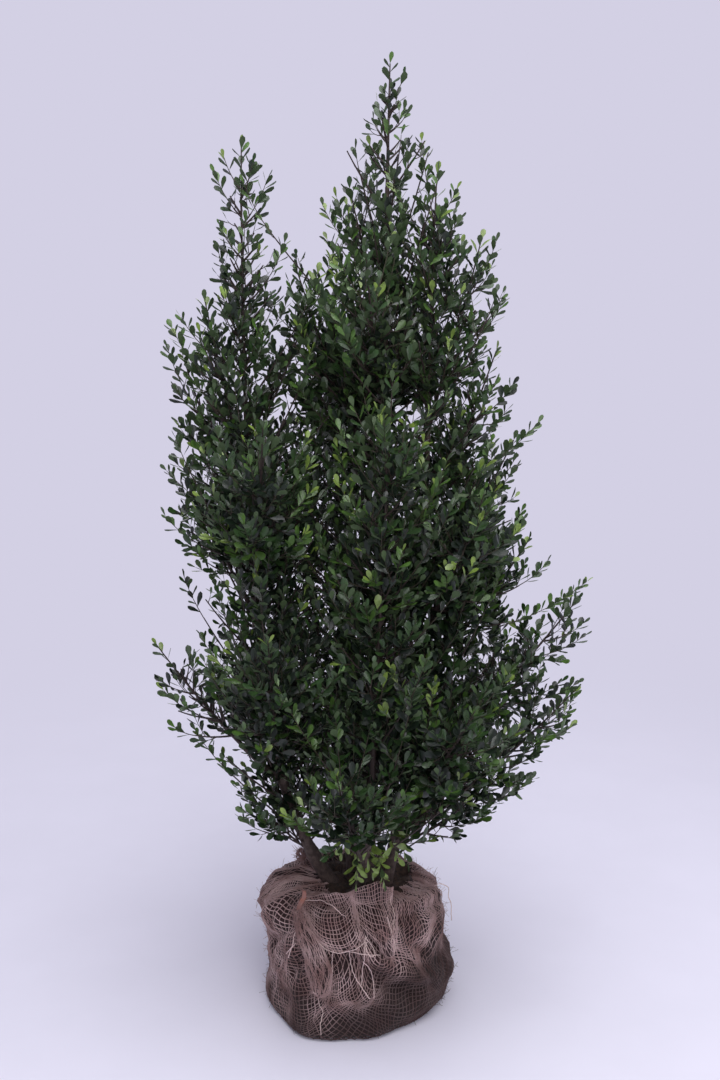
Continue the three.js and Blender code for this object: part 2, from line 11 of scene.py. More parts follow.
import bpy
import numpy as np
from bpy.props import FloatProperty, FloatVectorProperty, IntProperty, PointerProperty
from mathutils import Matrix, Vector


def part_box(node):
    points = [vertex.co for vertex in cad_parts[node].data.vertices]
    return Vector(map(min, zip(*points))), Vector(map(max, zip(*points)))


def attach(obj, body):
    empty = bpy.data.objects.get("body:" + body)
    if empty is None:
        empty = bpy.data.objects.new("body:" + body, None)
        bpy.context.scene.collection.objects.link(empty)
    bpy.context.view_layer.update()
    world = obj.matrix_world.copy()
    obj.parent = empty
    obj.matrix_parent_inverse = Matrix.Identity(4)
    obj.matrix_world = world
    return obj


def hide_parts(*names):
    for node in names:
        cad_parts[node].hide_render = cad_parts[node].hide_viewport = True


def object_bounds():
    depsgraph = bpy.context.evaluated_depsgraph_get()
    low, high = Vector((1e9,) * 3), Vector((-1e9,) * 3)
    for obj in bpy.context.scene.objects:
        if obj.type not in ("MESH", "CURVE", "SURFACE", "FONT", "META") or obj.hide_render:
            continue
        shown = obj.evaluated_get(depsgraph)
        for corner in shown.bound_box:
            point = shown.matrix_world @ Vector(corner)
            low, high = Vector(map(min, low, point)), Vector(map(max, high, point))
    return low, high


bl_info = {
    "name": "Small-leaved holly on a root ball",
    "version": (1, 0, 0),
    "blender": (4, 5, 0),
    "location": "View3D > Sidebar > Holly",
    "description": "Makes bark, twigs, leaves and a hessian-wrapped root ball over the packed solids",
    "category": "Add Mesh",
}

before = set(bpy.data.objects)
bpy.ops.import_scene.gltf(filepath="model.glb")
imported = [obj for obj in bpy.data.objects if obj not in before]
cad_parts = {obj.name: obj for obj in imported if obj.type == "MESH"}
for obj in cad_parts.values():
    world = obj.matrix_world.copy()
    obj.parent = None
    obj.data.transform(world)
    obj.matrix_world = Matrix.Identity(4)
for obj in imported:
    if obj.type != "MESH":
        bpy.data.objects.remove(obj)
CAD_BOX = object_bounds()

# ---- driving dimensions, as in the source

UP = np.array((0.0, 0.0, 1.0))
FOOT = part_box("stem_centre")[0].z  # the stems' flat feet on the ball

Stem = namedtuple("Stem", "foot tip radius turn")
STEMS = {
    "centre": Stem((0.01, 0.006), (0.04, 0.02, 1.292), (0.0115, 0.0032), 2.2),
    "left": Stem((-0.049, 0.0), (-0.171, -0.016, 0.99), (0.0095, 0.0034), 4),
    "right": Stem((0.042, -0.006), (0.104, -0.014, 1.06), (0.0085, 0.0032), 3),
    "front": Stem((-0.004, -0.04), (0.018, -0.128, 0.42), (0.0075, 0.0046), 2),
    "back": Stem((-0.012, 0.044), (-0.034, 0.136, 0.56), (0.0085, 0.0042), 2),
}
STEM_FLARE = 0.35
STEM_FLARE_HEIGHT = 0.038
STEM_RINGS = 7
STEM_CROWDING = 1.4
STEM_THINNING = 0.8

# A leafy limb leaves its stem at a height. `bare` is the share of it that is a bare bough.
Limb = namedtuple("Limb", "name stem height tip spread bare")
LIMB_ROWS = (
    ("left_top", "left", 0.87, (-0.23, -0.034, 1.15), 0.084, 0),
    ("left_upper", "left", 0.77, (-0.272, 0.014, 1.064), 0.096, 0),
    ("left_middle", "left", 0.65, (-0.274, -0.008, 0.898), 0.1, 0.2),
    ("left_reaching", "left", 0.37, (-0.328, -0.014, 0.618), 0.084, 0.3),
    ("left_low", "left", 0.246, (-0.186, -0.03, 0.376), 0.088, 0),
    ("left_front", "left", 0.68, (-0.13, -0.222, 0.986), 0.118, 0.16),
    ("left_front_low", "left", 0.4, (-0.128, -0.24, 0.69), 0.126, 0.16),
    ("left_back", "left", 0.63, (-0.19, 0.2, 0.92), 0.124, 0.2),
    ("left_back_low", "left", 0.33, (-0.176, 0.206, 0.58), 0.122, 0.2),
    ("centre_left", "centre", 0.84, (-0.1, -0.012, 1.196), 0.104, 0.14),
    ("centre_front", "centre", 0.93, (0.006, -0.14, 1.22), 0.106, 0.14),
    ("centre_back", "centre", 0.886, (0.056, 0.168, 1.22), 0.112, 0.14),
    ("centre_high", "centre", 1.09, (-0.02, 0.03, 1.312), 0.078, 0),
    ("right_top", "right", 0.95, (0.184, 0.01, 1.238), 0.092, 0),
    ("right_upper", "right", 0.8, (0.21, -0.006, 1.076), 0.098, 0),
    ("right_middle", "right", 0.68, (0.244, 0.016, 0.938), 0.1, 0.2),
    ("right_lower", "right", 0.54, (0.266, -0.034, 0.79), 0.104, 0.2),
    ("right_reaching", "right", 0.39, (0.352, 0.012, 0.684), 0.092, 0.24),
    ("right_spreading", "right", 0.28, (0.352, -0.014, 0.544), 0.09, 0.24),
    ("right_low", "right", 0.258, (0.226, -0.034, 0.396), 0.082, 0),
    ("right_front", "right", 0.61, (0.176, -0.204, 0.89), 0.12, 0.18),
    ("right_front_low", "right", 0.33, (0.168, -0.226, 0.58), 0.124, 0.2),
    ("right_back", "right", 0.56, (0.206, 0.196, 0.85), 0.126, 0.2),
    ("right_back_low", "right", 0.3, (0.204, 0.198, 0.54), 0.124, 0.2),
    ("front_low", "front", 0.262, (-0.036, -0.262, 0.5), 0.12, 0),
    ("back_low", "back", 0.262, (0.0, 0.272, 0.48), 0.124, 0),
)
# A leader is the leafy end of its stem.
LEADER_ROWS = (
    ("centre_leader", "centre", None, (0.044, 0.02, 1.484), 0.066, 0),
    ("left_leader", "left", None, (-0.17, -0.018, 1.368), 0.078, 0),
    ("right_leader", "right", None, (0.112, -0.016, 1.328), 0.092, 0),
    ("front_leader", "front", None, (0.046, -0.156, 1.042), 0.124, 0),
    ("back_leader", "back", None, (-0.04, 0.156, 1.15), 0.124, 0),
)
LIMBS = [Limb(*row) for row in LIMB_ROWS]
LEADERS = [Limb(*row) for row in LEADER_ROWS]
LIMB_SAG = 0.1
BOUGH_RADIUS_PER_LENGTH = 0.019
BOUGH_LEAST_RADIUS = 0.0036
BOUGH_TIP_SHARE = 0.66

TWIG_SPACING = 0.044
TWIG_FEWEST = 4
TWIG_FIRST = 0.06
TWIG_LAST = 0.94
TWIG_JITTER = (0.3, 0.4)  # where in its step a twig sits, and how much chance adds
TWIG_TURN = 137.5
TWIG_TURN_JITTER = 30
TWIG_ANGLE = 50
TWIG_ANGLE_JITTER = 12
TWIG_LIFT = 0.34
TWIG_REACH = 0.56
TWIG_VIGOUR = (0.8, 0.4)  # share of the reach, and how much chance adds
TWIG_TAPER_FROM = 0.35  # share of the spine beyond which the twigs get shorter
TWIG_TAPER = 0.72
SPRAY_LENGTH = 0.084  # one leaf of the source stands for a leafy shoot this long
FULL_SPREAD = 0.108
LEAST_SCALE = 0.7
TIP_SHARE = 0.5
TIP_LEAF_SHARE = 0.96  # how much of the end leaf stands beyond the twigs
CELL_PIECES = 5
SEED = 20417
SEED_STEP = 97


# ---- what a user may change


def linear(red, green, blue):
    """A colour on the usual 0 to 255 scale as Blender's linear one."""
    shares = [v / 255 for v in (red, green, blue)]
    return tuple(s / 12.92 if s < 0.04045 else ((s + 0.055) / 1.055) ** 2.4 for s in shares)


def length(name, description, metres):
    return FloatProperty(
        name=name, description=description, default=metres, min=0, unit="LENGTH", precision=4
    )


def colour(name, description, rgb):
    return FloatVectorProperty(
        name=name, description=description, default=linear(*rgb), size=3, min=0, max=1, subtype="COLOR"
    )


def number(name, description, default, low=0.0, high=10.0):
    return FloatProperty(name=name, description=description, default=default, min=low, max=high)


def count(name, description, default, low=1, high=100):
    return IntProperty(name=name, description=description, default=default, min=low, max=high)


class HollyWood(bpy.types.PropertyGroup):
    """Stems, boughs and twigs."""

    relief: length("Bark relief", "How far the bark's ridges stand out", 0.0011)
    ring_gap: length("Ring gap", "Distance between two rings of the bark mesh", 0.0035)
    sides: count("Sides", "Faces round a stem", 24, 6, 64)
    sunk: length("Sunk", "How deep a stem's foot stands in the earth", 0.006)
    collar: number("Collar", "How much a stem swells where a bough leaves it, as a share", 0.22, 0, 1)
    bark: colour("Bark", "Older grey-brown bark", (114, 96, 87))
    bark_dark: colour("Bark, dark", "Cracks and damp bark", (54, 43, 40))
    twig: colour("Twig", "Dark purple-brown twigs", (66, 52, 48))
    shoot: colour("Shoot", "This year's greener shoots", (74, 80, 50))


class HollyLeaves(bpy.types.PropertyGroup):
    """Shoots and the leaves on them."""

    length: length("Leaf length", "From foot to tip", 0.0235)
    width: length("Leaf width", "At the widest", 0.0112)
    thick: length("Leaf thickness", "At the midrib", 0.0007)
    gap: length("Leaf gap", "Along a shoot, from one leaf to the next", 0.0056)
    angle: number("Leaf angle", "Degrees off the shoot", 46, 0, 90)
    shoot_gap: length("Shoot gap", "Along a twig, from one shoot to the next", 0.0125)
    shoot_angle: number("Shoot angle", "Degrees off the twig", 46, 0, 90)
    shoot_radius: length("Shoot radius", "At a shoot's foot", 0.0009)
    twig_radius: length("Twig radius", "At a twig's foot", 0.0019)
    # The deep, grown and fresh greens are dealt out by a shoot's light (see deal_kinds): partly real older
    # leaves inside and newer ones outside, partly painted shade deep in the crown and painted light at its
    # outside and top.
    deep: colour("Deep leaf", "Old leaves inside the crown", (22, 38, 23))
    grown: colour("Grown leaf", "Most leaves", (48, 76, 36))
    fresh: colour("Fresh leaf", "Lighter leaves at the outside", (78, 112, 46))
    young: colour("Young leaf", "Yellow-green leaves at the tips", (124, 150, 66))
    underside: colour("Underside", "Paler back of a leaf", (74, 94, 59))


class HollyHessian(bpy.types.PropertyGroup):
    """The woven wrapping, and the earth inside it."""

    pitch: length("Yarn pitch", "From one yarn to the next, laid flat", 0.006)
    yarn: length("Yarn radius", "Half the width of one yarn", 0.00085)
    gap: length("Lining gap", "How far the inner layer lies below the weave", 0.0032)
    lump: length("Lumps", "How far the ball's lumps stand out", 0.0022)
    fold: length("Fold depth", "How far the gathered folds stand out", 0.0045)
    slack: length("Slack", "How far the weave is pulled out of square", 0.0085)
    tan: colour("Clean yarn", "Pinkish tan jute", (242, 214, 211))
    brown: colour("Brown yarn", "Jute stained by earth", (147, 113, 108))
    # The under colour is near-black. It stands for the shade in the holes of the open weave: painted shade
    # over a real inner layer of cloth. The dense colour gives that layer lighter patches.
    under: colour("Inner cloth", "The layer behind the open weave", (9, 4, 5))
    dense: colour("Dense cloth", "Inner cloth where it lies close", (56, 34, 34))
    thread: colour("Loose thread", "Pale loose threads", (214, 196, 180))
    sliver: colour("Sliver", "A rust-coloured sliver of bark", (176, 92, 50))
    stain: colour("Stain", "Red-brown soil that clings to the yarns", (52, 29, 26))
    earth: colour("Earth", "Dark moist soil", (38, 27, 23))
    clod: colour("Clods", "Drier crumbs on the soil", (84, 66, 56))


class HollyStudio(bpy.types.PropertyGroup):
    """Camera, lights, floor and backdrop."""

    camera_height: length("Camera height", "Above the floor", 1.2084)
    camera_distance: length("Camera distance", "In front of the plant's middle", 2.0317)
    camera_tilt: number("Camera tilt", "Degrees below level", 12.311, -90, 90)
    lens: number("Lens", "Focal length in millimetres on a 36 mm sensor", 45, 10, 200)
    backdrop: colour("Backdrop", "Pale cool white all round", (211, 208, 228))
    floor: colour("Floor", "Pale plain floor", (232, 231, 243))
    ambient: number("Ambient share", "How much of the backdrop's brightness lights the plant", 0.58, 0, 1)
    overhead: number("Overhead light", "Watts of the large soft light above", 70, 0, 2000)
    front: number("Front light", "Watts of the soft light behind the camera", 34, 0, 2000)
    back: number("Back light", "Watts of the faint light behind the plant", 16, 0, 2000)


SETTINGS = {
    "holly_wood": HollyWood,
    "holly_leaves": HollyLeaves,
    "holly_hessian": HollyHessian,
    "holly_studio": HollyStudio,
}


# ---- helpers

MODULUS = 2**32  # of the random numbers
FACTOR = 1664525
INCREMENT = 1013904223
SHAPING = {"radius", "along", "face", "size", "underside"}  # what a tree reads and a piece then drops


def mix(a, b, t):
    return a + (b - a) * t


def shares(count):
    """Even steps from 0 to 1."""
    return np.linspace(0, 1, count)


def smooth(t):
    t = np.clip(t, 0, 1)
    return t * t * (3 - 2 * t)


def unit(v):
    v = np.asarray(v, float)
    return v / np.maximum(np.linalg.norm(v, axis=-1, keepdims=True), 1e-12)


def seeded(seed):
    """Repeatable random numbers from 0 to 1, the source's own."""
    state = seed % MODULUS
    while True:
        state = (FACTOR * state + INCREMENT) % MODULUS
        yield state / MODULUS


def node(tree, kind, inputs=None, **settings):
    """Adds a node. An input is given by name or place, as a value or as another node's output."""
    made = tree.nodes.new(kind)
    for name, value in settings.items():
        setattr(made, name, value)
    for key, value in (inputs or {}).items():
        if isinstance(value, bpy.types.NodeSocket):
            tree.links.new(value, made.inputs[key])
        else:
            made.inputs[key].default_value = value
    return made


def maths(tree, operation, first, second):
    return node(tree, "ShaderNodeMath", {0: first, 1: second}, operation=operation).outputs[0]


def ranged(tree, value, start=(0.0, 1.0), end=(0.0, 1.0), curve="SMOOTHSTEP"):
    """A value carried over from one range to another."""
    inputs = {"Value": value, "From Min": start[0], "From Max": start[1], "To Min": end[0], "To Max": end[1]}
    return node(tree, "ShaderNodeMapRange", inputs, interpolation_type=curve).outputs["Result"]


def blended(tree, share, first, second):
    """One colour where the share is 0, another where it is 1."""
    return node(tree, "ShaderNodeMix", {0: share, 6: first, 7: second}, data_type="RGBA").outputs[2]


def new_tree(name, kind, inputs, outputs):
    """A node group with named sockets. Returns it with its input and output nodes' sockets."""
    tree = bpy.data.node_groups.new(name, kind)
    for label, socket, default in inputs:
        made = tree.interface.new_socket(label, in_out="INPUT", socket_type=socket)
        if default is not None:
            made.default_value = default
    for label, socket in outputs:
        tree.interface.new_socket(label, in_out="OUTPUT", socket_type=socket)
    return tree, tree.nodes.new("NodeGroupInput").outputs, tree.nodes.new("NodeGroupOutput").inputs


def mesh_object(name, vertices, edges=(), faces=()):
    mesh = bpy.data.meshes.new(name)
    mesh.from_pydata(np.asarray(vertices, float), edges, faces)
    mesh.update()
    made = bpy.data.objects.new(name, mesh)
    bpy.context.scene.collection.objects.link(made)
    return made


def smooth_faces(piece):
    piece.data.polygons.foreach_set("use_smooth", [True] * len(piece.data.polygons))


def store(piece, name, kind, values):
    """Stores one value for each vertex: a FLOAT or a FLOAT_VECTOR."""
    attribute = piece.data.attributes.new(name, kind, "POINT")
    key = "vector" if kind == "FLOAT_VECTOR" else "value"
    attribute.data.foreach_set(key, np.asarray(values, np.float32).ravel())


def shaped(piece, tree, values):
    """Runs a geometry node tree on a piece and keeps its result as the piece's plain mesh."""
    modifier = piece.modifiers.new("shape", "NODES")
    modifier.node_group = tree
    for socket in tree.interface.items_tree:
        if socket.name in values:
            modifier[socket.identifier] = values[socket.name]
    graph = bpy.context.evaluated_depsgraph_get()
    mesh = bpy.data.meshes.new_from_object(piece.evaluated_get(graph), depsgraph=graph)
    piece.modifiers.clear()
    bare = piece.data
    piece.data = mesh
    bpy.data.meshes.remove(bare)
    for spare in SHAPING & {attribute.name for attribute in mesh.attributes}:
        mesh.attributes.remove(mesh.attributes[spare])
    return piece


def finished(piece, slot, *nodes):
    """The piece rides on the plant and stands for CAD nodes, whose parts it hides. The slot is not used."""
    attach(piece, "root")
    if nodes:
        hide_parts(*nodes)
    return piece


def lines_object(name, lines):
    """Open lines as one mesh of edges. A line is its points and its radius at each of them."""
    points = np.concatenate([p for p, _ in lines])
    radii = np.concatenate([np.broadcast_to(r, len(p)) for p, r in lines])
    ends = set(np.cumsum([len(p) for p, _ in lines]) - 1)
    edges = [(i, i + 1) for i in range(len(points) - 1) if i not in ends]
    made = mesh_object(name, points, edges)
    store(made, "radius", "FLOAT", radii)
    return made


# ---- geometry node trees

GEOMETRY = "NodeSocketGeometry"
MATERIAL = "NodeSocketMaterial"
RIDGE_STRETCH = (1.0, 1.0, 0.22)  # below 1, the bark's ridges are drawn out that way
RIDGES_PER_METRE = 260.0
RIDGE_DETAIL = {"Detail": 3.0, "Roughness": 0.6}
RIDGE_GAIN = 2.4
WARTS_PER_METRE = 150.0
WART_EDGE = (0.12, 0.34)
WART_HEIGHT = 0.55


def stored(tree, name, kind="FLOAT_VECTOR"):
    return node(tree, "GeometryNodeInputNamedAttribute", {"Name": name}, data_type=kind).outputs[0]


def swept(tree, curve, sides):
    """A round tube along a curve, closed at both ends, as thick as the curve's points say."""
    ring = node(tree, "GeometryNodeCurvePrimitiveCircle", {"Resolution": sides, "Radius": 1.0})
    inputs = {"Profile Curve": ring.outputs[0], "Scale": stored(tree, "radius", "FLOAT"), "Fill Caps": True}
    return node(tree, "GeometryNodeCurveToMesh", {"Curve": curve, **inputs}).outputs[0]


def painted(tree, shape, material, selection=True):
    inputs = {"Geometry": shape, "Selection": selection, "Material": material}
    return node(tree, "GeometryNodeSetMaterial", inputs).outputs[0]


def smooth_and_real(tree, shape):
    smoothed = node(tree, "GeometryNodeSetShadeSmooth", {"Geometry": shape})
    return node(tree, "GeometryNodeRealizeInstances", {"Geometry": smoothed.outputs[0]}).outputs[0]


@cache
def tube_tree():
    """Closed round tubes along lines, each as thick as its points say."""
    inputs = [("Lines", GEOMETRY, None), ("Sides", "NodeSocketInt", 4), ("Material", MATERIAL, None)]
    tree, given, result = new_tree("Tubes along lines", "GeometryNodeTree", inputs, [("Tubes", GEOMETRY)])
    curve = node(tree, "GeometryNodeMeshToCurve", {"Mesh": given["Lines"]}).outputs[0]
    tubes = smooth_and_real(tree, swept(tree, curve, given["Sides"]))
    tree.links.new(painted(tree, tubes, given["Material"]), result[0])
    return tree


def bark_height(tree, seed):
    """How far the bark stands out at a point: long ridges with small warts on them."""
    place = node(tree, "GeometryNodeInputPosition").outputs[0]
    stretched = node(tree, "ShaderNodeVectorMath", {0: place, 1: RIDGE_STRETCH}, operation="MULTIPLY")
    inputs = {"Vector": stretched.outputs[0], "W": seed, "Scale": RIDGES_PER_METRE, **RIDGE_DETAIL}
    ridges = node(tree, "ShaderNodeTexNoise", inputs, noise_dimensions="4D")
    inputs = {"Vector": place, "W": seed, "Scale": WARTS_PER_METRE}
    warts = node(tree, "ShaderNodeTexVoronoi", inputs, voronoi_dimensions="4D", feature="F1")
    wart = ranged(tree, warts.outputs["Distance"], WART_EDGE, (WART_HEIGHT, 0.0))
    ridge = maths(tree, "MULTIPLY", maths(tree, "SUBTRACT", ridges.outputs["Fac"], 0.5), RIDGE_GAIN)
    return maths(tree, "ADD", ridge, wart)


@cache
def bark_tree():
    """A round limb along a line, with relief in its bark."""
    inputs = [
        ("Line", GEOMETRY, None),
        ("Sides", "NodeSocketInt", 24),
        ("Ring gap", "NodeSocketFloat", 0.0035),
        ("Relief", "NodeSocketFloat", 0.001),
        ("Seed", "NodeSocketFloat", 1.0),
        ("Material", MATERIAL, None),
    ]
    tree, given, result = new_tree("Limb with bark relief", "GeometryNodeTree", inputs, [("Limb", GEOMETRY)])
    curve = node(tree, "GeometryNodeMeshToCurve", {"Mesh": given["Line"]}).outputs[0]
    rings = {"Curve": curve, "Length": given["Ring gap"]}
    even = node(tree, "GeometryNodeResampleCurve", rings, mode="LENGTH").outputs[0]
    limb = swept(tree, even, given["Sides"])
    depth = maths(tree, "MULTIPLY", bark_height(tree, given["Seed"]), given["Relief"])
    normal = node(tree, "GeometryNodeInputNormal").outputs[0]
    push = node(tree, "ShaderNodeVectorMath", {0: normal, "Scale": depth}, operation="SCALE")
    carved = node(tree, "GeometryNodeSetPosition", {"Geometry": limb, "Offset": push.outputs[0]})
    real = smooth_and_real(tree, carved.outputs[0])
    tree.links.new(painted(tree, real, given["Material"]), result[0])
    return tree


@cache
def leaf_tree():
    """A leaf on every point, turned by the point's own directions."""
    inputs = [
        ("Places", GEOMETRY, None),
        ("Leaf", "NodeSocketObject", None),
        ("Upper side", MATERIAL, None),
        ("Underside", MATERIAL, None),
    ]
    tree, given, result = new_tree("Leaves on points", "GeometryNodeTree", inputs, [("Leaves", GEOMETRY)])
    points = node(tree, "GeometryNodeMeshToPoints", {"Mesh": given["Places"]})
    leaf = node(tree, "GeometryNodeObjectInfo", {"Object": given["Leaf"]})
    ways = {"Primary Axis": stored(tree, "along"), "Secondary Axis": stored(tree, "face")}
    turned = node(tree, "FunctionNodeAxesToRotation", ways, primary_axis="Y", secondary_axis="Z")
    placing = {
        "Points": points.outputs[0],
        "Instance": leaf.outputs["Geometry"],
        "Rotation": turned.outputs[0],
        "Scale": stored(tree, "size"),
    }
    placed = node(tree, "GeometryNodeInstanceOnPoints", placing)
    real = node(tree, "GeometryNodeRealizeInstances", {"Geometry": placed.outputs[0]}).outputs[0]
    upper = painted(tree, real, given["Upper side"])
    under = painted(tree, upper, given["Underside"], stored(tree, "underside", "BOOLEAN"))
    tree.links.new(under, result[0])
    return tree


# ---- materials

SHADER = "ShaderNodeTree"
COLOUR = "NodeSocketColor"
VALUE = "NodeSocketFloat"
SOIL_EDGE = (0.65, 1.25)  # between these levels the cloth goes from clean to soiled


def noise(tree, place, scale, detail):
    inputs = {"Vector": place, "Scale": scale, "Detail": detail}
    return node(tree, "ShaderNodeTexNoise", inputs).outputs["Fac"]


def own_place(tree):
    """The piece's own coordinates."""
    return node(tree, "ShaderNodeTexCoord").outputs["Object"]


@cache
def mottle_group():
    """Two colours in soft patches over the piece's own coordinates."""
    inputs = [
        ("First", COLOUR, (1, 1, 1, 1)),
        ("Second", COLOUR, (0, 0, 0, 1)),
        ("Patches per metre", VALUE, 60.0),
        ("Contrast", VALUE, 0.5),
    ]
    tree, given, result = new_tree("Mottled colour", SHADER, inputs, [("Color", COLOUR), ("Mask", VALUE)])
    patches = noise(tree, own_place(tree), given["Patches per metre"], 4.0)
    half = maths(tree, "MULTIPLY", given["Contrast"], 0.5)
    edges = [maths(tree, operation, 0.5, half) for operation in ("SUBTRACT", "ADD")]
    mask = ranged(tree, patches, edges)
    tree.links.new(blended(tree, mask, given["First"], given["Second"]), result["Color"])
    tree.links.new(mask, result["Mask"])
    return tree


@cache
def grain_group():
    """A fine bump from stretched noise, as a normal."""
    inputs = [
        ("Grains per metre", VALUE, 900.0),
        ("Stretch", "NodeSocketVector", (1.0, 1.0, 1.0)),
        ("Depth", VALUE, 0.0002),
    ]
    outputs = [("Normal", "NodeSocketVector"), ("Height", VALUE)]
    tree, given, result = new_tree("Fine grain", SHADER, inputs, outputs)
    ways = {0: own_place(tree), 1: given["Stretch"]}
    stretched = node(tree, "ShaderNodeVectorMath", ways, operation="MULTIPLY")
    grains = noise(tree, stretched.outputs[0], given["Grains per metre"], 3.0)
    bump = node(tree, "ShaderNodeBump", {"Height": grains, "Distance": given["Depth"], "Strength": 1.0})
    tree.links.new(bump.outputs["Normal"], result["Normal"])
    tree.links.new(grains, result["Height"])
    return tree


@cache
def soil_group():
    """A mask of soil that clings to the cloth, thickest near the ground and to one side."""
    inputs = [("Clean height", VALUE, 0.14), ("Patches per metre", VALUE, 12.0), ("Sideways", VALUE, 2.4)]
    tree, given, result = new_tree("Clinging soil", SHADER, inputs, [("Mask", VALUE)])
    place = own_place(tree)
    apart = node(tree, "ShaderNodeSeparateXYZ", {0: place})
    low = ranged(tree, apart.outputs["Z"], (0.0, given["Clean height"]), (1.0, 0.0), "LINEAR")
    patches = noise(tree, place, given["Patches per metre"], 5.0)
    side = maths(tree, "MULTIPLY", apart.outputs["X"], given["Sideways"])
    level = maths(tree, "ADD", maths(tree, "ADD", low, patches), side)
    tree.links.new(ranged(tree, level, SOIL_EDGE), result["Mask"])
    return tree


def new_material(name, roughness, **constants):
    """A material with its Principled shader. A constant is set on the shader's own socket."""
    material = bpy.data.materials.new(name)
    material.use_nodes = True
    shader = material.node_tree.nodes["Principled BSDF"]
    shader.inputs["Roughness"].default_value = roughness
    for key, value in constants.items():
        shader.inputs[key.replace("_", " ")].default_value = value
    return material, material.node_tree, shader


def opaque(rgb, share=1.0):
    """A linear colour, darkened to a share, as four values."""
    return (*(channel * share for channel in rgb), 1.0)


def mottled(tree, first, second, patches_per_metre, contrast):
    """The colour and the mask of a surface with two colours in patches."""
    inputs = {"First": first, "Second": second, "Patches per metre": patches_per_metre, "Contrast": contrast}
    placed = node(tree, "ShaderNodeGroup", inputs, node_tree=mottle_group())
    return placed.outputs["Color"], placed.outputs["Mask"]


def grained(tree, shader, grains_per_metre, depth, stretch=1.0):
    """Gives the surface a fine grain, drawn out upwards where stretch is below 1. Returns its height."""
    inputs = {"Grains per metre": grains_per_metre, "Depth": depth, "Stretch": (1.0, 1.0, stretch)}
    placed = node(tree, "ShaderNodeGroup", inputs, node_tree=grain_group())
    tree.links.new(placed.outputs["Normal"], shader.inputs["Normal"])
    return placed.outputs["Height"]


def coloured(tree, shader, colour_here, mask, low, high):
    """Links the colour, and the roughness that the mask spreads from low to high."""
    tree.links.new(colour_here, shader.inputs["Base Color"])
    tree.links.new(ranged(tree, mask, end=(low, high), curve="LINEAR"), shader.inputs["Roughness"])


@cache
def leaf_material(name, rgb, dark_share, gloss, rough):
    """A leaf side: two near greens in patches, with a fine grain. gloss is the coat's weight."""
    material, tree, shader = new_material(name, rough, Coat_Weight=gloss, Coat_Roughness=0.22)
    green, mask = mottled(tree, opaque(rgb), opaque(rgb, dark_share), 85.0, 0.4)
    grained(tree, shader, 420.0, 0.00025)
    coloured(tree, shader, green, mask, rough, rough + 0.1)
    return material


@cache
def wood_material(name, light, dark, rough, stretch):
    """Bark: light and dark in patches, cracked along the limb."""
    material, tree, shader = new_material(name, rough)
    brown, mask = mottled(tree, opaque(light), opaque(dark), 130.0, 0.6)
    cracks = grained(tree, shader, 700.0, 0.0006, stretch)
    coloured(tree, shader, blended(tree, cracks, opaque(dark), brown), mask, rough - 0.08, rough + 0.08)
    return material


@cache
def jute_material(name, clean, stained, soil, rough, soil_share, patches_per_metre=26.0):
    """Jute yarn or cloth: clean and stained patches, painted shade where the fibre grain is low, and soil
    clinging to the lower part.
    """
    material, tree, shader = new_material(name, rough, Sheen_Weight=0.06, Sheen_Roughness=0.6)
    jute_colour, mask = mottled(tree, opaque(clean), opaque(stained), patches_per_metre, 0.4)
    fibres = grained(tree, shader, 1500.0, 0.0004)
    # Painted shade: the colour darkens towards the stained colour where the fibre grain is low.
    shaded = blended(tree, fibres, opaque(stained, 0.8), jute_colour)
    dirt = node(tree, "ShaderNodeGroup", node_tree=soil_group()).outputs["Mask"]
    soiled = blended(tree, maths(tree, "MULTIPLY", dirt, soil_share), shaded, opaque(soil))
    coloured(tree, shader, soiled, mask, rough - 0.06, rough + 0.04)
    return material


@cache
def earth_material(name, moist, dry):
    """Crumbly soil: moist and drier grains in patches."""
    material, tree, shader = new_material(name, 0.95)
    brown, mask = mottled(tree, opaque(moist), opaque(dry), 190.0, 0.5)
    grained(tree, shader, 480.0, 0.002)
    coloured(tree, shader, brown, mask, 0.75, 1.0)
    return material


# ---- the source's rule

STEPS_ALONG = shares(CELL_PIECES + 1)[:, None]
STEM_LEAFY = 0.29  # the height above which a stem's own branches bear leaves
STEM_SPREAD = 0.125
# Spaces inside the crown, between the stems and beside their feet: from, to, half width.
INNER_SPACES = (
    ((-0.13, -0.01, 0.86), (-0.12, -0.01, 1.17), 0.1),
    ((-0.13, -0.03, 0.42), (-0.14, -0.02, 0.86), 0.12),
    ((-0.09, -0.03, 0.3), (-0.13, -0.03, 0.42), 0.11),
    ((-0.1, -0.03, 0.31), (-0.145, -0.03, 0.51), 0.072),
    ((-0.115, -0.11, 0.52), (-0.135, -0.12, 0.84), 0.105),
    ((0.12, -0.1, 0.48), (0.13, -0.11, 0.8), 0.105),
    ((0.09, -0.03, 0.29), (0.2, -0.03, 0.4), 0.085),
)


def stem_share(stem, height):
    """How far up a stem a height is: 0 at its foot, 1 at its tip."""
    return (np.asarray(height, float) - FOOT) / (stem.tip[2] - FOOT)


def stem_point(stem, height):
    """Where a stem's centre is at a height: it leans out at once and then turns upright."""
    lean = (1 - np.exp(-stem.turn * stem_share(stem, height))) / (1 - math.exp(-stem.turn))
    across = [mix(stem.foot[axis], stem.tip[axis], lean) for axis in (0, 1)]
    return np.stack([*across, np.broadcast_to(height, np.shape(lean))], axis=-1)


def stem_radius(stem, height):
    share = np.clip(stem_share(stem, height), 0, 1)
    flare = 1 + STEM_FLARE * np.exp(-(np.asarray(height) - FOOT) / STEM_FLARE_HEIGHT)
    return mix(*stem.radius, share**STEM_THINNING) * np.minimum(flare, 1 + STEM_FLARE)


def on_curve(curve, t):
    """Points of a curve through three control points."""
    t = np.asarray(t, float)[..., None]
    start, middle, tip = curve
    return (1 - t) ** 2 * start + 2 * t * (1 - t) * middle + t**2 * tip


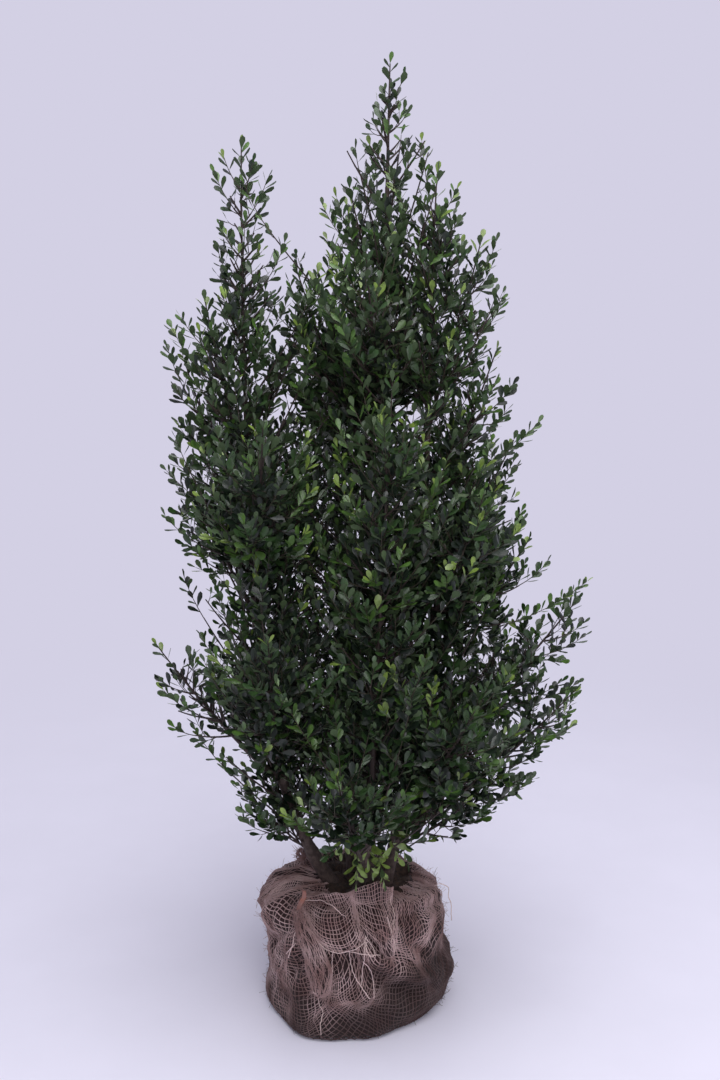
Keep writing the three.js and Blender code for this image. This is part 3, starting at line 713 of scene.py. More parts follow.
def curve_direction(curve, t):
    start, middle, tip = curve
    return unit((1 - t) * (middle - start) + t * (tip - middle))


def line_length(points):
    return float(np.linalg.norm(np.diff(points, axis=0), axis=1).sum())


def curve_length(curve):
    return line_length(on_curve(curve, shares(201)))


def limb_curve(limb):
    """The curve that a limb's bough and foliage share: it leaves flat and turns up towards its tip."""
    stem = STEMS[limb.stem]
    tip = np.array(limb.tip)
    if limb.height is not None:
        start = stem_point(stem, limb.height)
        sag = LIMB_SAG * np.linalg.norm(tip - start) * UP
        return start, mix(start, tip, 0.5) - sag, tip
    start = stem_point(stem, stem.tip[2])
    below = mix(FOOT, stem.tip[2], ((STEM_RINGS - 1) / STEM_RINGS) ** STEM_CROWDING)
    along = unit(start - stem_point(stem, below))
    return start, start + along * 0.5 * np.linalg.norm(tip - start), tip


def bough_radii(curve):
    base = max(BOUGH_LEAST_RADIUS, BOUGH_RADIUS_PER_LENGTH * curve_length(curve))
    return base, base * BOUGH_TIP_SHARE


class Mass:
    """One mass of foliage: its curve, the space it keeps to and its place in the source's order."""

    def __init__(self, number, limb):
        self.number = number
        self.name = limb.name
        self.group = limb.stem
        self.curve = limb_curve(limb)
        self.spread = limb.spread
        self.start = limb.bare
        self.length = curve_length(self.curve)
        self.scale = min(1, max(LEAST_SCALE, limb.spread / FULL_SPREAD))
        self.end = 1 - TIP_LEAF_SHARE * SPRAY_LENGTH * self.scale / self.length
        self.leads = limb.height is None
        self.base = STEMS[limb.stem].radius[1] if self.leads else bough_radii(self.curve)[1]
        self.middle = on_curve(self.curve, np.linspace(self.start, 1, CELL_PIECES + 1))
        towards_tip = np.maximum(0, 2 * np.arange(CELL_PIECES + 1) / CELL_PIECES - 1)
        self.widths = self.spread * mix(1, TIP_SHARE, towards_tip)

    def steps(self):
        """The rule's steps along the leafy part, from one twig to the next."""
        return self.length * (1 - self.start) / (TWIG_SPACING * self.scale)


class Cells:
    """The spaces of all masses, the space close round each stem, and some between the stems, together."""

    def __init__(self, masses):
        around = [stem_point(s, np.linspace(STEM_LEAFY, s.tip[2], CELL_PIECES + 1)) for s in STEMS.values()]
        between = [mix(np.array(low), np.array(high), STEPS_ALONG) for low, high, _ in INNER_SPACES]
        even = [STEM_SPREAD] * len(around) + [width for _, _, width in INNER_SPACES]
        lines = np.array([m.middle for m in masses] + around + between)
        widths = np.array([m.widths for m in masses] + [np.full(CELL_PIECES + 1, w) for w in even])
        self.starts = lines[:, :-1]
        self.pieces = lines[:, 1:] - self.starts
        self.widths = widths[:, :-1]
        self.narrowing = widths[:, 1:] - self.widths

    def outwardness(self, points):
        """How far out each point is in each space: 0 on its middle line, 1 at its edge."""
        away = points[:, None, None, :] - self.starts
        share = np.clip((away * self.pieces).sum(-1) / (self.pieces**2).sum(-1), 0, 1)
        gap = np.linalg.norm(away - share[..., None] * self.pieces, axis=-1)
        return (gap / (self.widths + share * self.narrowing)).min(-1)

    def depth(self, points):
        """How far out each point is in the space that holds it best: 0 deep inside, 1 at the crown's edge."""
        return self.outwardness(np.asarray(points)).min(1)


STEEPEST = 0.97  # a direction that rises more has no level side of its own


def direction_frame(along):
    """Level across a direction, and up from it."""
    across = unit(np.cross(along, (0, 1, 0) if abs(along[2]) > STEEPEST else UP))
    return across, np.cross(across, along)


Twig = namedtuple("Twig", "foot heading lifted reach")


def bending_up(foot, heading, reach):
    """A twig that leaves in one direction and bends towards the light."""
    return Twig(foot, heading, unit(heading + TWIG_LIFT * UP), reach)


def leaning(along, turn, angle):
    """The direction that leans off another by an angle, at a turn round it."""
    across, above = direction_frame(along)
    out = across * math.cos(turn) + above * math.sin(turn)
    return along * math.cos(angle) + out * math.sin(angle)


def twig_at(mass, share, turn, angle, vigour):
    """A twig at a share of the leafy part, turned round it and leaning off it."""
    t = mix(mass.start, mass.end, share)
    heading = leaning(curve_direction(mass.curve, t), turn, angle)
    taper = 1 - TWIG_TAPER * max(0, share - TWIG_TAPER_FROM) / (1 - TWIG_TAPER_FROM)
    reach = mass.spread * TWIG_REACH * taper * vigour / math.sin(angle)
    return bending_up(on_curve(mass.curve, t), heading, reach)


def source_twigs(mass):
    """The twigs of a mass by the source's seeded rule."""
    random = seeded(SEED + SEED_STEP * mass.number)
    twigs = max(TWIG_FEWEST, math.floor(mass.steps() + 0.5))
    for k in range(twigs):
        place = k + TWIG_JITTER[0] + TWIG_JITTER[1] * next(random)
        turn = math.radians(TWIG_TURN * k + TWIG_TURN_JITTER * next(random))
        angle = math.radians(TWIG_ANGLE + TWIG_ANGLE_JITTER * (next(random) - 0.5))
        vigour = TWIG_VIGOUR[0] + TWIG_VIGOUR[1] * next(random)
        yield twig_at(mass, mix(TWIG_FIRST, TWIG_LAST, place / twigs), turn, angle, vigour)


# ---- the rule carried on

# Ranges of chance are given as the least and the most. Turns, angles and rises are in degrees.
FINER_TWIGS = 2  # finer twigs for each twig of the source
FINER_PLACE = (0.1, 0.9)
FINER_TURN = 68
FINER_ANGLE = (TWIG_ANGLE - 9, TWIG_ANGLE + 9)
FINER_VIGOUR = (0.6, 1.1)
TURN_CHANCE = (0, 40)

BRANCH_LOWEST = 0.265
BRANCH_GAP = 0.026
BRANCH_REACH = 0.24
BRANCH_RISE = (30, 58)
BRANCH_VIGOUR = (0.7, 1)
BRANCH_STEEPER = 14  # in the upper crown
BRANCH_LONGER = 1.4
UPPER_CROWN = (0.85, 1.2)  # between these heights the crown gets airier

INNER_GAP = 0.024
INNER_TURN = (-55, 55)
INNER_RISE = (34, 62)
INNER_VIGOUR = (0.6, 0.95)
# The ways a stem's extra branches point, and their lowest and highest foot.
INNER_SIDES = {
    "left": ((0, 0.3, 0.98), (185, 0.262, 0.5), (270, 0.4, 0.76)),
    "centre": ((180, 0.32, 1.06),),
    "right": ((-10, 0.262, 0.42), (270, 0.38, 0.74)),
}


def finer_twigs(mass, random):
    """The same rule carried on: twigs between the source's own."""
    twigs = round(FINER_TWIGS * max(TWIG_FEWEST, mass.steps()))
    for k in range(twigs):
        share = mix(TWIG_FIRST, TWIG_LAST, (k + random.uniform(*FINER_PLACE)) / twigs)
        turn = math.radians(TWIG_TURN * k + FINER_TURN + random.uniform(*TURN_CHANCE))
        angle = math.radians(random.uniform(*FINER_ANGLE))
        yield twig_at(mass, share, turn, angle, random.uniform(*FINER_VIGOUR))


def upper_part(height):
    """0 in the lower crown, 1 in the airier upper crown."""
    return float(smooth((height - UPPER_CROWN[0]) / (UPPER_CROWN[1] - UPPER_CROWN[0])))


def branch(stem, height, turn, rise, reach):
    """A branch that leaves a stem at a height, with a turn round it and a rise in degrees."""
    turn, rise = math.radians(turn), math.radians(rise)
    out = np.array((math.cos(turn), math.sin(turn), 0))
    heading = out * math.cos(rise) + UP * math.sin(rise)
    return bending_up(stem_point(stem, height), heading, reach)


def stem_branches(stem, random):
    """Branches in a spiral up a stem, steeper towards its top. They fill the crown from inside."""
    for step, height in enumerate(np.arange(BRANCH_LOWEST, stem.tip[2], BRANCH_GAP)):
        high = upper_part(height)
        turn = TWIG_TURN * step + random.uniform(*TURN_CHANCE)
        rise = random.uniform(*BRANCH_RISE) + BRANCH_STEEPER * high
        reach = BRANCH_REACH * random.uniform(*BRANCH_VIGOUR) * mix(1, BRANCH_LONGER, high)
        yield branch(stem, height, turn, rise, reach)


def inner_branches(stem_name, random):
    """Extra branches into the spaces between the stems and beside their feet."""
    for towards, lowest, highest in INNER_SIDES.get(stem_name, ()):
        for height in np.arange(lowest, highest, INNER_GAP):
            turn = towards + random.uniform(*INNER_TURN)
            rise = random.uniform(*INNER_RISE)
            reach = BRANCH_REACH * random.uniform(*INNER_VIGOUR)
            yield branch(STEMS[stem_name], height, turn, rise, reach)


# ---- shoots and leaves

KINDS = ("deep", "grown", "fresh", "young")
# The share of the rule's shoots that a thin and airy mass bears, and how far out they reach.
HABITS = {
    "centre_leader": (0.6, 0.72),
    "left_leader": (0.85, 0.76),
    "left_top": (0.75, 0.78),
    "left_upper": (0.7, 0.8),
    "left_middle": (0.7, 0.76),
    "left_reaching": (0.38, 0.74),
    "left_low": (1, 0.9),
    "right_leader": (0.9, 0.9),
    "right_top": (0.9, 0.88),
    "right_upper": (0.85, 0.86),
    "right_middle": (0.7, 0.76),
    "right_lower": (0.7, 0.78),
    "right_reaching": (0.75, 1),
    "right_spreading": (0.85, 1),
    "right_low": (0.9, 1),
}
FULL_HABIT = (1, 1)
BRANCH_HABIT = (0.75, 0.96)  # the same for the branches inside

LEAF_GAPS = (0.85, 1.3)
LEAF_PLACE = (0.2, 0.8)  # where in its step a leaf may sit
CROWDING = 0.78  # below 1, leaves close up towards a shoot's tip
TURN_STRAY = 0.25  # radians
DROOP = 0.35  # how much of its way down a leaf under the shoot keeps
LEAN = (1.15, 0.6)  # share of the leaf angle at a shoot's foot and at its tip
ANGLE_CHANCE = (0.8, 1.2)
END_LEAN = 0.12  # radians, of the leaf that ends a shoot
LEAF_LIFT = 0.14
POINTING_STRAY = 0.07
FACING = (0.75, 0.75, -0.5)  # how much a face looks along the shoot, up, and off the shoot
FACING_STRAY = 0.3
LEAF_SIZES = (0.78, 1.14)
SMALL_FROM = 0.6  # share of a shoot beyond which its leaves get smaller
SMALLEST = 0.72
LEAF_WIDTHS = (0.88, 1.12)

# Painted shade and painted light: shoots in the dark inside of the crown get darker greens, and shoots at its
# lit outside get lighter ones.
LIT = (0.25, 0.6)  # from this light on, and over this much more, shoots turn lighter
DARK_SHARES = np.array((0.75, 0.22, 0.03))  # of deep, grown and fresh shoots in the dark
LIGHT_SHARES = np.array((0.2, 0.48, 0.32))
LIGHTER_FROM = 0.6  # share of a shoot beyond which leaves in the light may be lighter
LIGHTER_CHANCE = 0.5
YOUNG_FROM = 0.72  # share of a shoot beyond which a young end begins
YOUNG_CHANCE = (0.02, 0.2)  # of such an end: in the dark, and how much light adds


class Growth:
    """What has grown in one mass: wooden lines, shoots, and the leaves of each kind."""

    def __init__(self, mass):
        self.mass = mass
        self.habit = HABITS.get(mass.name, FULL_HABIT)
        self.wood = []
        self.shoots = []
        self.leaves = {kind: [] for kind in KINDS}


def bent_line(foot, heading, lifted, reach, steps):
    """Points of a shoot that leaves along one direction and bends to another."""
    t = shares(steps + 1)[:, None]
    return foot + reach * ((t - t * t / 2) * heading + t * t / 2 * lifted)


def thinning(radius, steps):
    """Radii along a twig or shoot, which is half as thick at its tip."""
    return radius * mix(1, 0.5, shares(steps))


def along_line(points, distances):
    """Places and directions at distances along a line."""
    steps = np.linalg.norm(np.diff(points, axis=0), axis=1)
    marks = np.concatenate([[0], np.cumsum(steps)])
    places = np.stack([np.interp(distances, marks, points[:, axis]) for axis in range(3)], axis=1)
    piece = np.clip(np.searchsorted(marks, distances, side="right") - 1, 0, len(steps) - 1)
    return places, unit(points[piece + 1] - points[piece])


def leaf_ways(along, share, angle, random):
    """Which way each leaf of a spiral points, and which way its face looks."""
    leaves = len(share)
    turn = math.radians(TWIG_TURN) * np.arange(leaves) + random.uniform(0, 2 * math.pi)
    turn += random.normal(0, TURN_STRAY, leaves)
    across = unit(np.cross(along, UP) + 1e-6)
    above = np.cross(across, along)
    radial = across * np.cos(turn)[:, None] + above * np.sin(turn)[:, None]
    radial[:, 2] = np.where(radial[:, 2] < 0, DROOP * radial[:, 2], radial[:, 2])
    lean = np.radians(angle) * mix(*LEAN, share**2) * random.uniform(*ANGLE_CHANCE, leaves)
    lean[-1] = END_LEAN
    pointing = along * np.cos(lean)[:, None] + radial * np.sin(lean)[:, None]
    pointing = unit(pointing + LEAF_LIFT * UP + random.normal(0, POINTING_STRAY, (leaves, 3)))
    looking = along * FACING[0] + FACING[1] * UP + FACING[2] * radial
    looking += random.normal(0, FACING_STRAY, (leaves, 3))
    looking = unit(looking - (looking * pointing).sum(1)[:, None] * pointing)
    return pointing, looking


def leaf_batch(points, first, sizes, vigour, random):
    """Leaves in a spiral along a shoot. A row is a leaf's place, way to point, way to look, and size."""
    full = line_length(points)
    leaves = max(2, round((full - first) / (sizes.gap * random.uniform(*LEAF_GAPS))))
    share = ((np.arange(leaves) + random.uniform(*LEAF_PLACE, leaves)) / leaves) ** CROWDING
    share[-1] = 1
    places, along = along_line(points, first + (full - first) * share)
    pointing, looking = leaf_ways(along, share, sizes.angle, random)
    ending = smooth((share - SMALL_FROM) / (1 - SMALL_FROM))
    grown = vigour * random.uniform(*LEAF_SIZES, leaves) * mix(1, SMALLEST, ending)
    width = sizes.width * grown * random.uniform(*LEAF_WIDTHS, leaves)
    size = np.stack([width, sizes.length * grown, sizes.length * grown], axis=1)
    return np.concatenate([places, pointing, looking, size], axis=1), share


def deal_kinds(batch, share, light, growth, random):
    """Deals a shoot's leaves out by its light: deep where it is dark, fresh or young where it is lit. The
    darker and lighter greens are painted shade and painted light, on top of real older and younger leaves.
    """
    outer = smooth((light - LIT[0]) / LIT[1])
    kind = int(random.choice(len(DARK_SHARES), p=mix(DARK_SHARES, LIGHT_SHARES, outer)))
    kinds = np.full(len(batch), kind)
    kinds[(share > LIGHTER_FROM) & (random.random(len(batch)) < LIGHTER_CHANCE * outer)] += 1
    youngest = len(KINDS) - 1
    if random.random() < YOUNG_CHANCE[1] * outer + YOUNG_CHANCE[0]:
        kinds[share > YOUNG_FROM] = youngest
    kinds = np.minimum(kinds, youngest)
    for place, name in enumerate(KINDS):
        growth.leaves[name].append(batch[kinds == place])


UNDERSIDE = 0.274  # of the crown, and how it rises towards the front
UNDERSIDE_RISE = 0.3


def in_box(point):
    """True if a point lies in the packed model's box."""
    low, high = (np.array(corner) for corner in CAD_BOX)
    return bool((low < point).all() and (point < high).all())


def too_low(line):
    """True if a line hangs below the crown's underside."""
    return bool((line[:, 2] < UNDERSIDE - UNDERSIDE_RISE * np.minimum(line[:, 1], 0)).any())


# ---- growing a mass

UPPER_SHARE = 0.7  # of the shoots, in the upper crown
# UPPER_LIGHT makes the upper crown's leaves lighter: painted light.
UPPER_LIGHT = 0.16  # how much more light it gets
SHOOT_LIFTS = (0.55, 1.0)  # how much shoots bend up, in the lower and the upper crown
SHOOT_SCALES = (1, 0.8, 0.62, 0.46)  # a shoot that doesn't fit is tried shorter
SHOOT_STEPS = 4
SHOOT_BARE = 0.004  # the first leaf's distance from a shoot's foot
SHOOT_VIGOUR = (0.86, 1.06)
LEAF_OVERHANG = 0.8  # how much of a leaf stands beyond its shoot's end

TWIG_STEPS = 6
TWIG_EDGE = 0.74
TWIG_SCALES = (1, 0.8, 0.62, 0.45, 0.3)
LEADING_EDGE = (0.66, 1.1)  # how far out a twig's own end may reach
LEADING_CHANCE = 1.6  # above 1, most stay near the lower bound
LEADING_LENGTH = (1.3, 2.1)  # in sprays
SIDE_EDGE = (0.58, 0.95)  # the same for side shoots
SIDE_CHANCE = 2
SIDE_LENGTH = (1.1, 0.7)  # at the twig's foot and at its tip
SIDE_VIGOUR = (0.6, 1.0)
SIDE_FIRST = 0.3  # in steps from one side shoot to the next
SIDE_JITTER = (-0.25, 0.25)
SIDE_TURN_STRAY = 0.3  # radians


def add_shoot(growth, cells, foot, heading, reach, edge, sizes, random):
    """A leafy shoot that bends to the light, shortened until its leaves keep to the crown's space."""
    high = upper_part(foot[2])
    lifted = unit(heading + mix(*SHOOT_LIFTS, high) * UP)
    kept, closeness = growth.habit
    if random.random() > kept * mix(1, UPPER_SHARE, high):
        return
    for share in SHOOT_SCALES:
        line = bent_line(foot, heading, lifted, reach * share - LEAF_OVERHANG * sizes.length, SHOOT_STEPS)
        depth = cells.depth(line[2:])
        if depth.max() > edge * closeness or not in_box(line[-1] + sizes.length * lifted) or too_low(line):
            continue
        growth.shoots.append((line, thinning(sizes.shoot_radius, len(line))))
        batch, place = leaf_batch(line, SHOOT_BARE, sizes, random.uniform(*SHOOT_VIGOUR), random)
        deal_kinds(batch, place, float(depth[-1]) + UPPER_LIGHT * high, growth, random)
        return


def fitting_line(twig, cells):
    """A twig's line, as long as the crown's spaces allow, and its reach. None if it fits nowhere."""
    for share in TWIG_SCALES:
        line = bent_line(twig.foot, twig.heading, twig.lifted, twig.reach * share, TWIG_STEPS)
        if cells.depth(line[TWIG_STEPS // 2 :]).max() < TWIG_EDGE:
            return None if too_low(line[2:]) else (line, twig.reach * share)
    return None


def add_twig(growth, cells, twig, sizes, random):
    """A twig with side shoots in a spiral, and a shoot that carries it on."""
    fitting = fitting_line(twig, cells)
    if fitting is None:
        return
    line, reach = fitting
    growth.wood.append((line, thinning(sizes.twig_radius, len(line))))
    spray = SPRAY_LENGTH * growth.mass.scale
    edge = mix(*LEADING_EDGE, random.random() ** LEADING_CHANCE)
    leading = spray * random.uniform(*LEADING_LENGTH)
    add_shoot(growth, cells, line[-1], unit(line[-1] - line[-2]), leading, edge, sizes, random)
    places = np.arange(SIDE_FIRST * sizes.shoot_gap, reach, sizes.shoot_gap)
    feet, along = along_line(line, places + random.uniform(*SIDE_JITTER, len(places)) * sizes.shoot_gap)
    turn = random.uniform(0, 2 * math.pi)
    for foot, direction, place in zip(feet, along, places):
        turn += math.radians(TWIG_TURN) + random.normal(0, SIDE_TURN_STRAY)
        angle = math.radians(sizes.shoot_angle * random.uniform(*ANGLE_CHANCE))
        side = spray * mix(*SIDE_LENGTH, place / reach) * random.uniform(*SIDE_VIGOUR)
        edge = mix(*SIDE_EDGE, random.random() ** SIDE_CHANCE)
        add_shoot(growth, cells, foot, leaning(direction, turn, angle), side, edge, sizes, random)


FOOT_MASS = "front_leader"  # holds what grows at the plant's foot
# Young shoots that hang over the front of the ball: foot and tip.
BASAL_SHOOTS = (
    ((-0.002, -0.05, 0.33), (-0.006, -0.108, 0.246)),
    ((0.01, -0.045, 0.325), (0.038, -0.108, 0.246)),
    ((0.02, -0.04, 0.335), (0.058, -0.094, 0.284)),
    ((-0.01, -0.05, 0.345), (-0.028, -0.104, 0.3)),
    ((0.004, -0.05, 0.35), (0.012, -0.114, 0.29)),
    ((0.03, -0.03, 0.34), (0.074, -0.072, 0.268)),
    ((0.0, -0.045, 0.31), (0.018, -0.1, 0.262)),
)
BASAL_BOW = (0.4, 0.022)  # how far along a shoot bows up, as a share, and how high
BASAL_BARE = 0.012
BASAL_VIGOUR = (0.95, 1.1)
BASAL_YOUNG = (0.3, 0.5)  # from this share of it on all leaves are young, and how many before
BASAL_POINTS = 7
# Thin bare twigs by the stems' feet: foot and tip.
BARE_TWIGS = (
    ((-0.03, -0.01, 0.215), (-0.036, -0.04, 0.3)),
    ((-0.022, -0.02, 0.212), (-0.018, -0.05, 0.29)),
    ((-0.08, -0.004, 0.262), (-0.12, -0.04, 0.312)),
    ((-0.076, -0.004, 0.25), (-0.14, -0.02, 0.3)),
    ((0.02, -0.03, 0.21), (0.03, -0.062, 0.3)),
    ((0.06, -0.012, 0.25), (0.11, -0.05, 0.306)),
    ((0.066, -0.012, 0.27), (0.14, -0.03, 0.318)),
    ((-0.01, 0.05, 0.214), (0.02, 0.09, 0.3)),
    ((0.03, 0.02, 0.212), (0.05, 0.08, 0.3)),
    ((-0.04, 0.02, 0.212), (-0.08, 0.07, 0.3)),
)
BARE_BEND = 0.006
BARE_POINTS = 6
BARE_RADII = (0.0016, 0.0009)


def grow_foot(growth, sizes, random):
    """The young hanging shoots and the bare twigs at the plant's foot."""
    for foot, tip in np.array(BASAL_SHOOTS):
        bow = mix(foot, tip, BASAL_BOW[0]) + BASAL_BOW[1] * UP
        line = on_curve((foot, bow, tip), shares(BASAL_POINTS))
        growth.shoots.append((line, thinning(sizes.shoot_radius, BASAL_POINTS)))
        batch, share = leaf_batch(line, BASAL_BARE, sizes, random.uniform(*BASAL_VIGOUR), random)
        young = (share > BASAL_YOUNG[0]) | (random.random(len(batch)) < BASAL_YOUNG[1])
        growth.leaves["young"].append(batch[young])
        growth.leaves["fresh"].append(batch[~young])
    for foot, tip in np.array(BARE_TWIGS):
        bow = mix(foot, tip, 0.5) + random.normal(0, BARE_BEND, 3)
        share = shares(BARE_POINTS)
        growth.wood.append((on_curve((foot, bow, tip), share), mix(*BARE_RADII, share)))


SPINE_POINTS = 16
SPINE_SUNK = 0.02  # how far back into its bough a mass's wood begins
SPINE_TIP_RADIUS = 0.0009
SPINE_THINNING = 0.8
END_POINTS = 5


def grow_mass(mass, cells, sizes):
    growth = Growth(mass)
    random = np.random.default_rng(SEED + mass.number)
    start = max(0, mass.start - SPINE_SUNK)
    end = 1 - LEAF_OVERHANG * sizes.length / mass.length
    radii = mix(mass.base, SPINE_TIP_RADIUS, shares(SPINE_POINTS) ** SPINE_THINNING)
    growth.wood.append((on_curve(mass.curve, np.linspace(start, end, SPINE_POINTS)), radii))
    tip = on_curve(mass.curve, mix(mass.end, end, shares(END_POINTS)))
    batch, place = leaf_batch(tip, 0, sizes, 1.0, random)
    # The leaves that end a mass count as fully lit, so they get the lighter greens of painted light.
    deal_kinds(batch, place, 1.0, growth, random)
    for twig in [*source_twigs(mass), *finer_twigs(mass, random)]:
        add_twig(growth, cells, twig, sizes, random)
    if mass.leads:
        growth.habit = BRANCH_HABIT
        for twig in [*stem_branches(STEMS[mass.group], random), *inner_branches(mass.group, random)]:
            add_twig(growth, cells, twig, sizes, random)
    if mass.name == FOOT_MASS:
        grow_foot(growth, sizes, random)
    return growth


@cache
def crown():
    """Every mass of foliage, grown once."""
    masses = [Mass(number, limb) for number, limb in enumerate([*LIMBS, *LEADERS])]
    cells = Cells(masses)
    sizes = bpy.context.scene.holly_leaves
    return [grow_mass(mass, cells, sizes) for mass in masses]


def grown_on(stem_name):
    """What has grown in the masses of one stem, and the CAD nodes of those masses."""
    grown = [growth for growth in crown() if growth.mass.group == stem_name]
    return grown, ["foliage_" + growth.mass.name for growth in grown]


# ---- leaf patterns

LEAF_STATIONS = ((0.3, 0.24), (0.62, 0.47), (0.88, 0.36))  # share of the length, half width
MARGIN_POWER = 1.5  # above 1, a leaf bends near its margins
# The upper side's faces: corners 0 to 7 go round it from the foot, 8 and 9 lie on the midrib.
RIGHT_HALF = ((0, 1, 8), (1, 2, 8), (2, 9, 8), (2, 3, 9), (3, 4, 9))
LEFT_HALF = ((0, 8, 7), (8, 6, 7), (8, 9, 6), (9, 5, 6), (9, 4, 5))
BELOW = {8: 10, 9: 11}  # the midrib's corners and those of the underside


def leaf_pattern(name, cup, recurve, thick):
    """One closed leaf of unit length and width along +Y, its upper side to +Z. cup lowers the margins."""

    def place(across, along, sink=0.0):
        return across, along, -cup * abs(across) ** MARGIN_POWER - recurve * along**2 - sink

    right = [place(half, along) for along, half in LEAF_STATIONS]
    left = [place(-half, along) for along, half in reversed(LEAF_STATIONS)]
    outline = [place(0, 0), *right, place(0, 1), *left]
    midrib = [place(0, along, sink) for sink in (0.0, thick) for along, _ in LEAF_STATIONS[:2]]
    upper = [*RIGHT_HALF, *LEFT_HALF]
    under = [tuple(BELOW.get(corner, corner) for corner in reversed(face)) for face in upper]
    made = mesh_object(name, [*outline, *midrib], faces=[*upper, *under])
    smooth_faces(made)
    flags = made.data.attributes.new("underside", "BOOLEAN", "FACE")
    flags.data.foreach_set("value", [False] * len(upper) + [True] * len(under))
    sharp = made.data.attributes.new("sharp_edge", "BOOLEAN", "EDGE")
    sharp.data.foreach_set("value", [max(edge.vertices) < len(outline) for edge in made.data.edges])
    return made


# ---- operators for the plant

COLLAR_REACH = 0.012  # how far along the stem a bough's collar swells it
BOUGH_POINTS = 12
TWIG_SIDES = 5
SHOOT_SIDES = 3
LEAF_DARKER = 0.5  # the darker patches of a leaf's green, as a share
LEAF_GLOSS = 0.3
LEAF_ROUGH = 0.36
LEAF_CUPS = {"grown": (0.16, 0.05), "young": (-0.12, 0.1)}  # cup and recurve


def stem_bark():
    sizes = bpy.context.scene.holly_wood
    return wood_material("stem bark", sizes.bark[:], sizes.bark_dark[:], rough=0.78, stretch=0.2)


def make_limb(name, points, radii, seed, cad_node):
    """A limb with bark relief that stands for a CAD node."""
    sizes = bpy.context.scene.holly_wood
    values = {
        "Sides": sizes.sides,
        "Ring gap": sizes.ring_gap,
        "Relief": sizes.relief,
        "Seed": float(seed),
        "Material": stem_bark(),
    }
    finished(shaped(lines_object(name, [(points, radii)]), bark_tree(), values), "bark", cad_node)


class HOLLY_OT_stems(bpy.types.Operator):
    """Five stems with bark relief, from the earth to where their leaders begin"""

    bl_idname = "holly.stems"
    bl_label = "Stems"

    def execute(self, context):
        sizes = context.scene.holly_wood
        for seed, (name, stem) in enumerate(STEMS.items()):
            heights = np.arange(FOOT - sizes.sunk, stem.tip[2], 2 * sizes.ring_gap)
            heights = np.append(heights, stem.tip[2])
            radii = stem_radius(stem, heights)
            for limb in LIMBS:
                if limb.stem == name:
                    swell = np.exp(-(((heights - limb.height) / COLLAR_REACH) ** 2))
                    radii = radii * (1 + sizes.collar * swell)
            make_limb("bark_stem_" + name, stem_point(stem, heights), radii, seed, "stem_" + name)
        return {"FINISHED"}


class HOLLY_OT_boughs(bpy.types.Operator):
    """The bare boughs between the stems and the foliage"""

    bl_idname = "holly.boughs"
    bl_label = "Boughs"

    def execute(self, context):
        share = shares(BOUGH_POINTS)
        for seed, limb in enumerate(LIMBS):
            if limb.bare > 0:
                curve = limb_curve(limb)
                radii = mix(*bough_radii(curve), share)
                points = on_curve(curve, share * limb.bare)
                make_limb("bark_bough_" + limb.name, points, radii, seed, "bough_" + limb.name)
        return {"FINISHED"}


class HOLLY_OT_twigs(bpy.types.Operator):
    """Twigs and this year's shoots, for the foliage of each stem"""

    bl_idname = "holly.twigs"
    bl_label = "Twigs and shoots"

    def execute(self, context):
        sizes = context.scene.holly_wood
        twig = wood_material("twig bark", sizes.twig[:], sizes.bark_dark[:], rough=0.6, stretch=0.3)
        shoot = wood_material("green shoot", sizes.shoot[:], sizes.twig[:], rough=0.5, stretch=0.3)
        pieces = (("twigs_", "wood", TWIG_SIDES, twig), ("shoots_", "shoots", SHOOT_SIDES, shoot))
        for stem_name in STEMS:
            grown, nodes = grown_on(stem_name)
            for name, key, sides, material in pieces:
                piece = lines_object(name + stem_name, [line for g in grown for line in getattr(g, key)])
                shaped(piece, tube_tree(), {"Sides": sides, "Material": material})
                finished(piece, "bark", *nodes)
        return {"FINISHED"}


class HOLLY_OT_leaves(bpy.types.Operator):
    """Leaves of four kinds, each kind apart for the foliage of each stem"""

    bl_idname = "holly.leaves"
    bl_label = "Leaves"

    def execute(self, context):
        sizes = context.scene.holly_leaves
        thick = sizes.thick / sizes.length
        patterns = {key: leaf_pattern(key + " leaf pattern", *cup, thick) for key, cup in LEAF_CUPS.items()}
        under = leaf_material("leaf underside", sizes.underside[:], dark_share=0.8, gloss=0.0, rough=0.55)
        # One leaf material per kind: the deep and fresh kinds are darker and lighter copies, painted shade
        # and painted light.
        for kind in KINDS:
            green = getattr(sizes, kind)[:]
            upper = leaf_material(kind + " leaf", green, LEAF_DARKER, LEAF_GLOSS, LEAF_ROUGH)
            pattern = patterns["young" if kind == "young" else "grown"]
            pattern.data.materials.clear()
            pattern.data.materials.append(upper)
            for stem_name in STEMS:
                grown, nodes = grown_on(stem_name)
                rows = np.concatenate([batch for growth in grown for batch in growth.leaves[kind]])
                piece = mesh_object(f"leaves_{kind}_{stem_name}", rows[:, :3])
                for place, name in enumerate(("along", "face", "size"), start=1):
                    store(piece, name, "FLOAT_VECTOR", rows[:, 3 * place : 3 * place + 3])
                values = {"Leaf": pattern, "Upper side": upper, "Underside": under}
                finished(shaped(piece, leaf_tree(), values), "leaf", *nodes)
        for pattern in patterns.values():
            bpy.data.objects.remove(pattern)
        return {"FINISHED"}


# ---- the wrapped root ball

# The source's outline of the ball, from the middle of its underside to its dish: radius, height.
BALL_OUTLINE = (
    *((0.0, 0.0), (0.143, 0.0), (0.153, 0.016), (0.157, 0.052), (0.154, 0.098), (0.147, 0.142)),
    *((0.134, 0.176), (0.118, 0.195), (0.1, 0.206), (0.084, 0.208), (0.074, 0.197), (0.0, 0.197)),
)
BALL_RADIUS = 0.154
BALL_HEIGHT = 0.208
BALL_LEVELS = (0.0, 0.05, 0.11, 0.195)
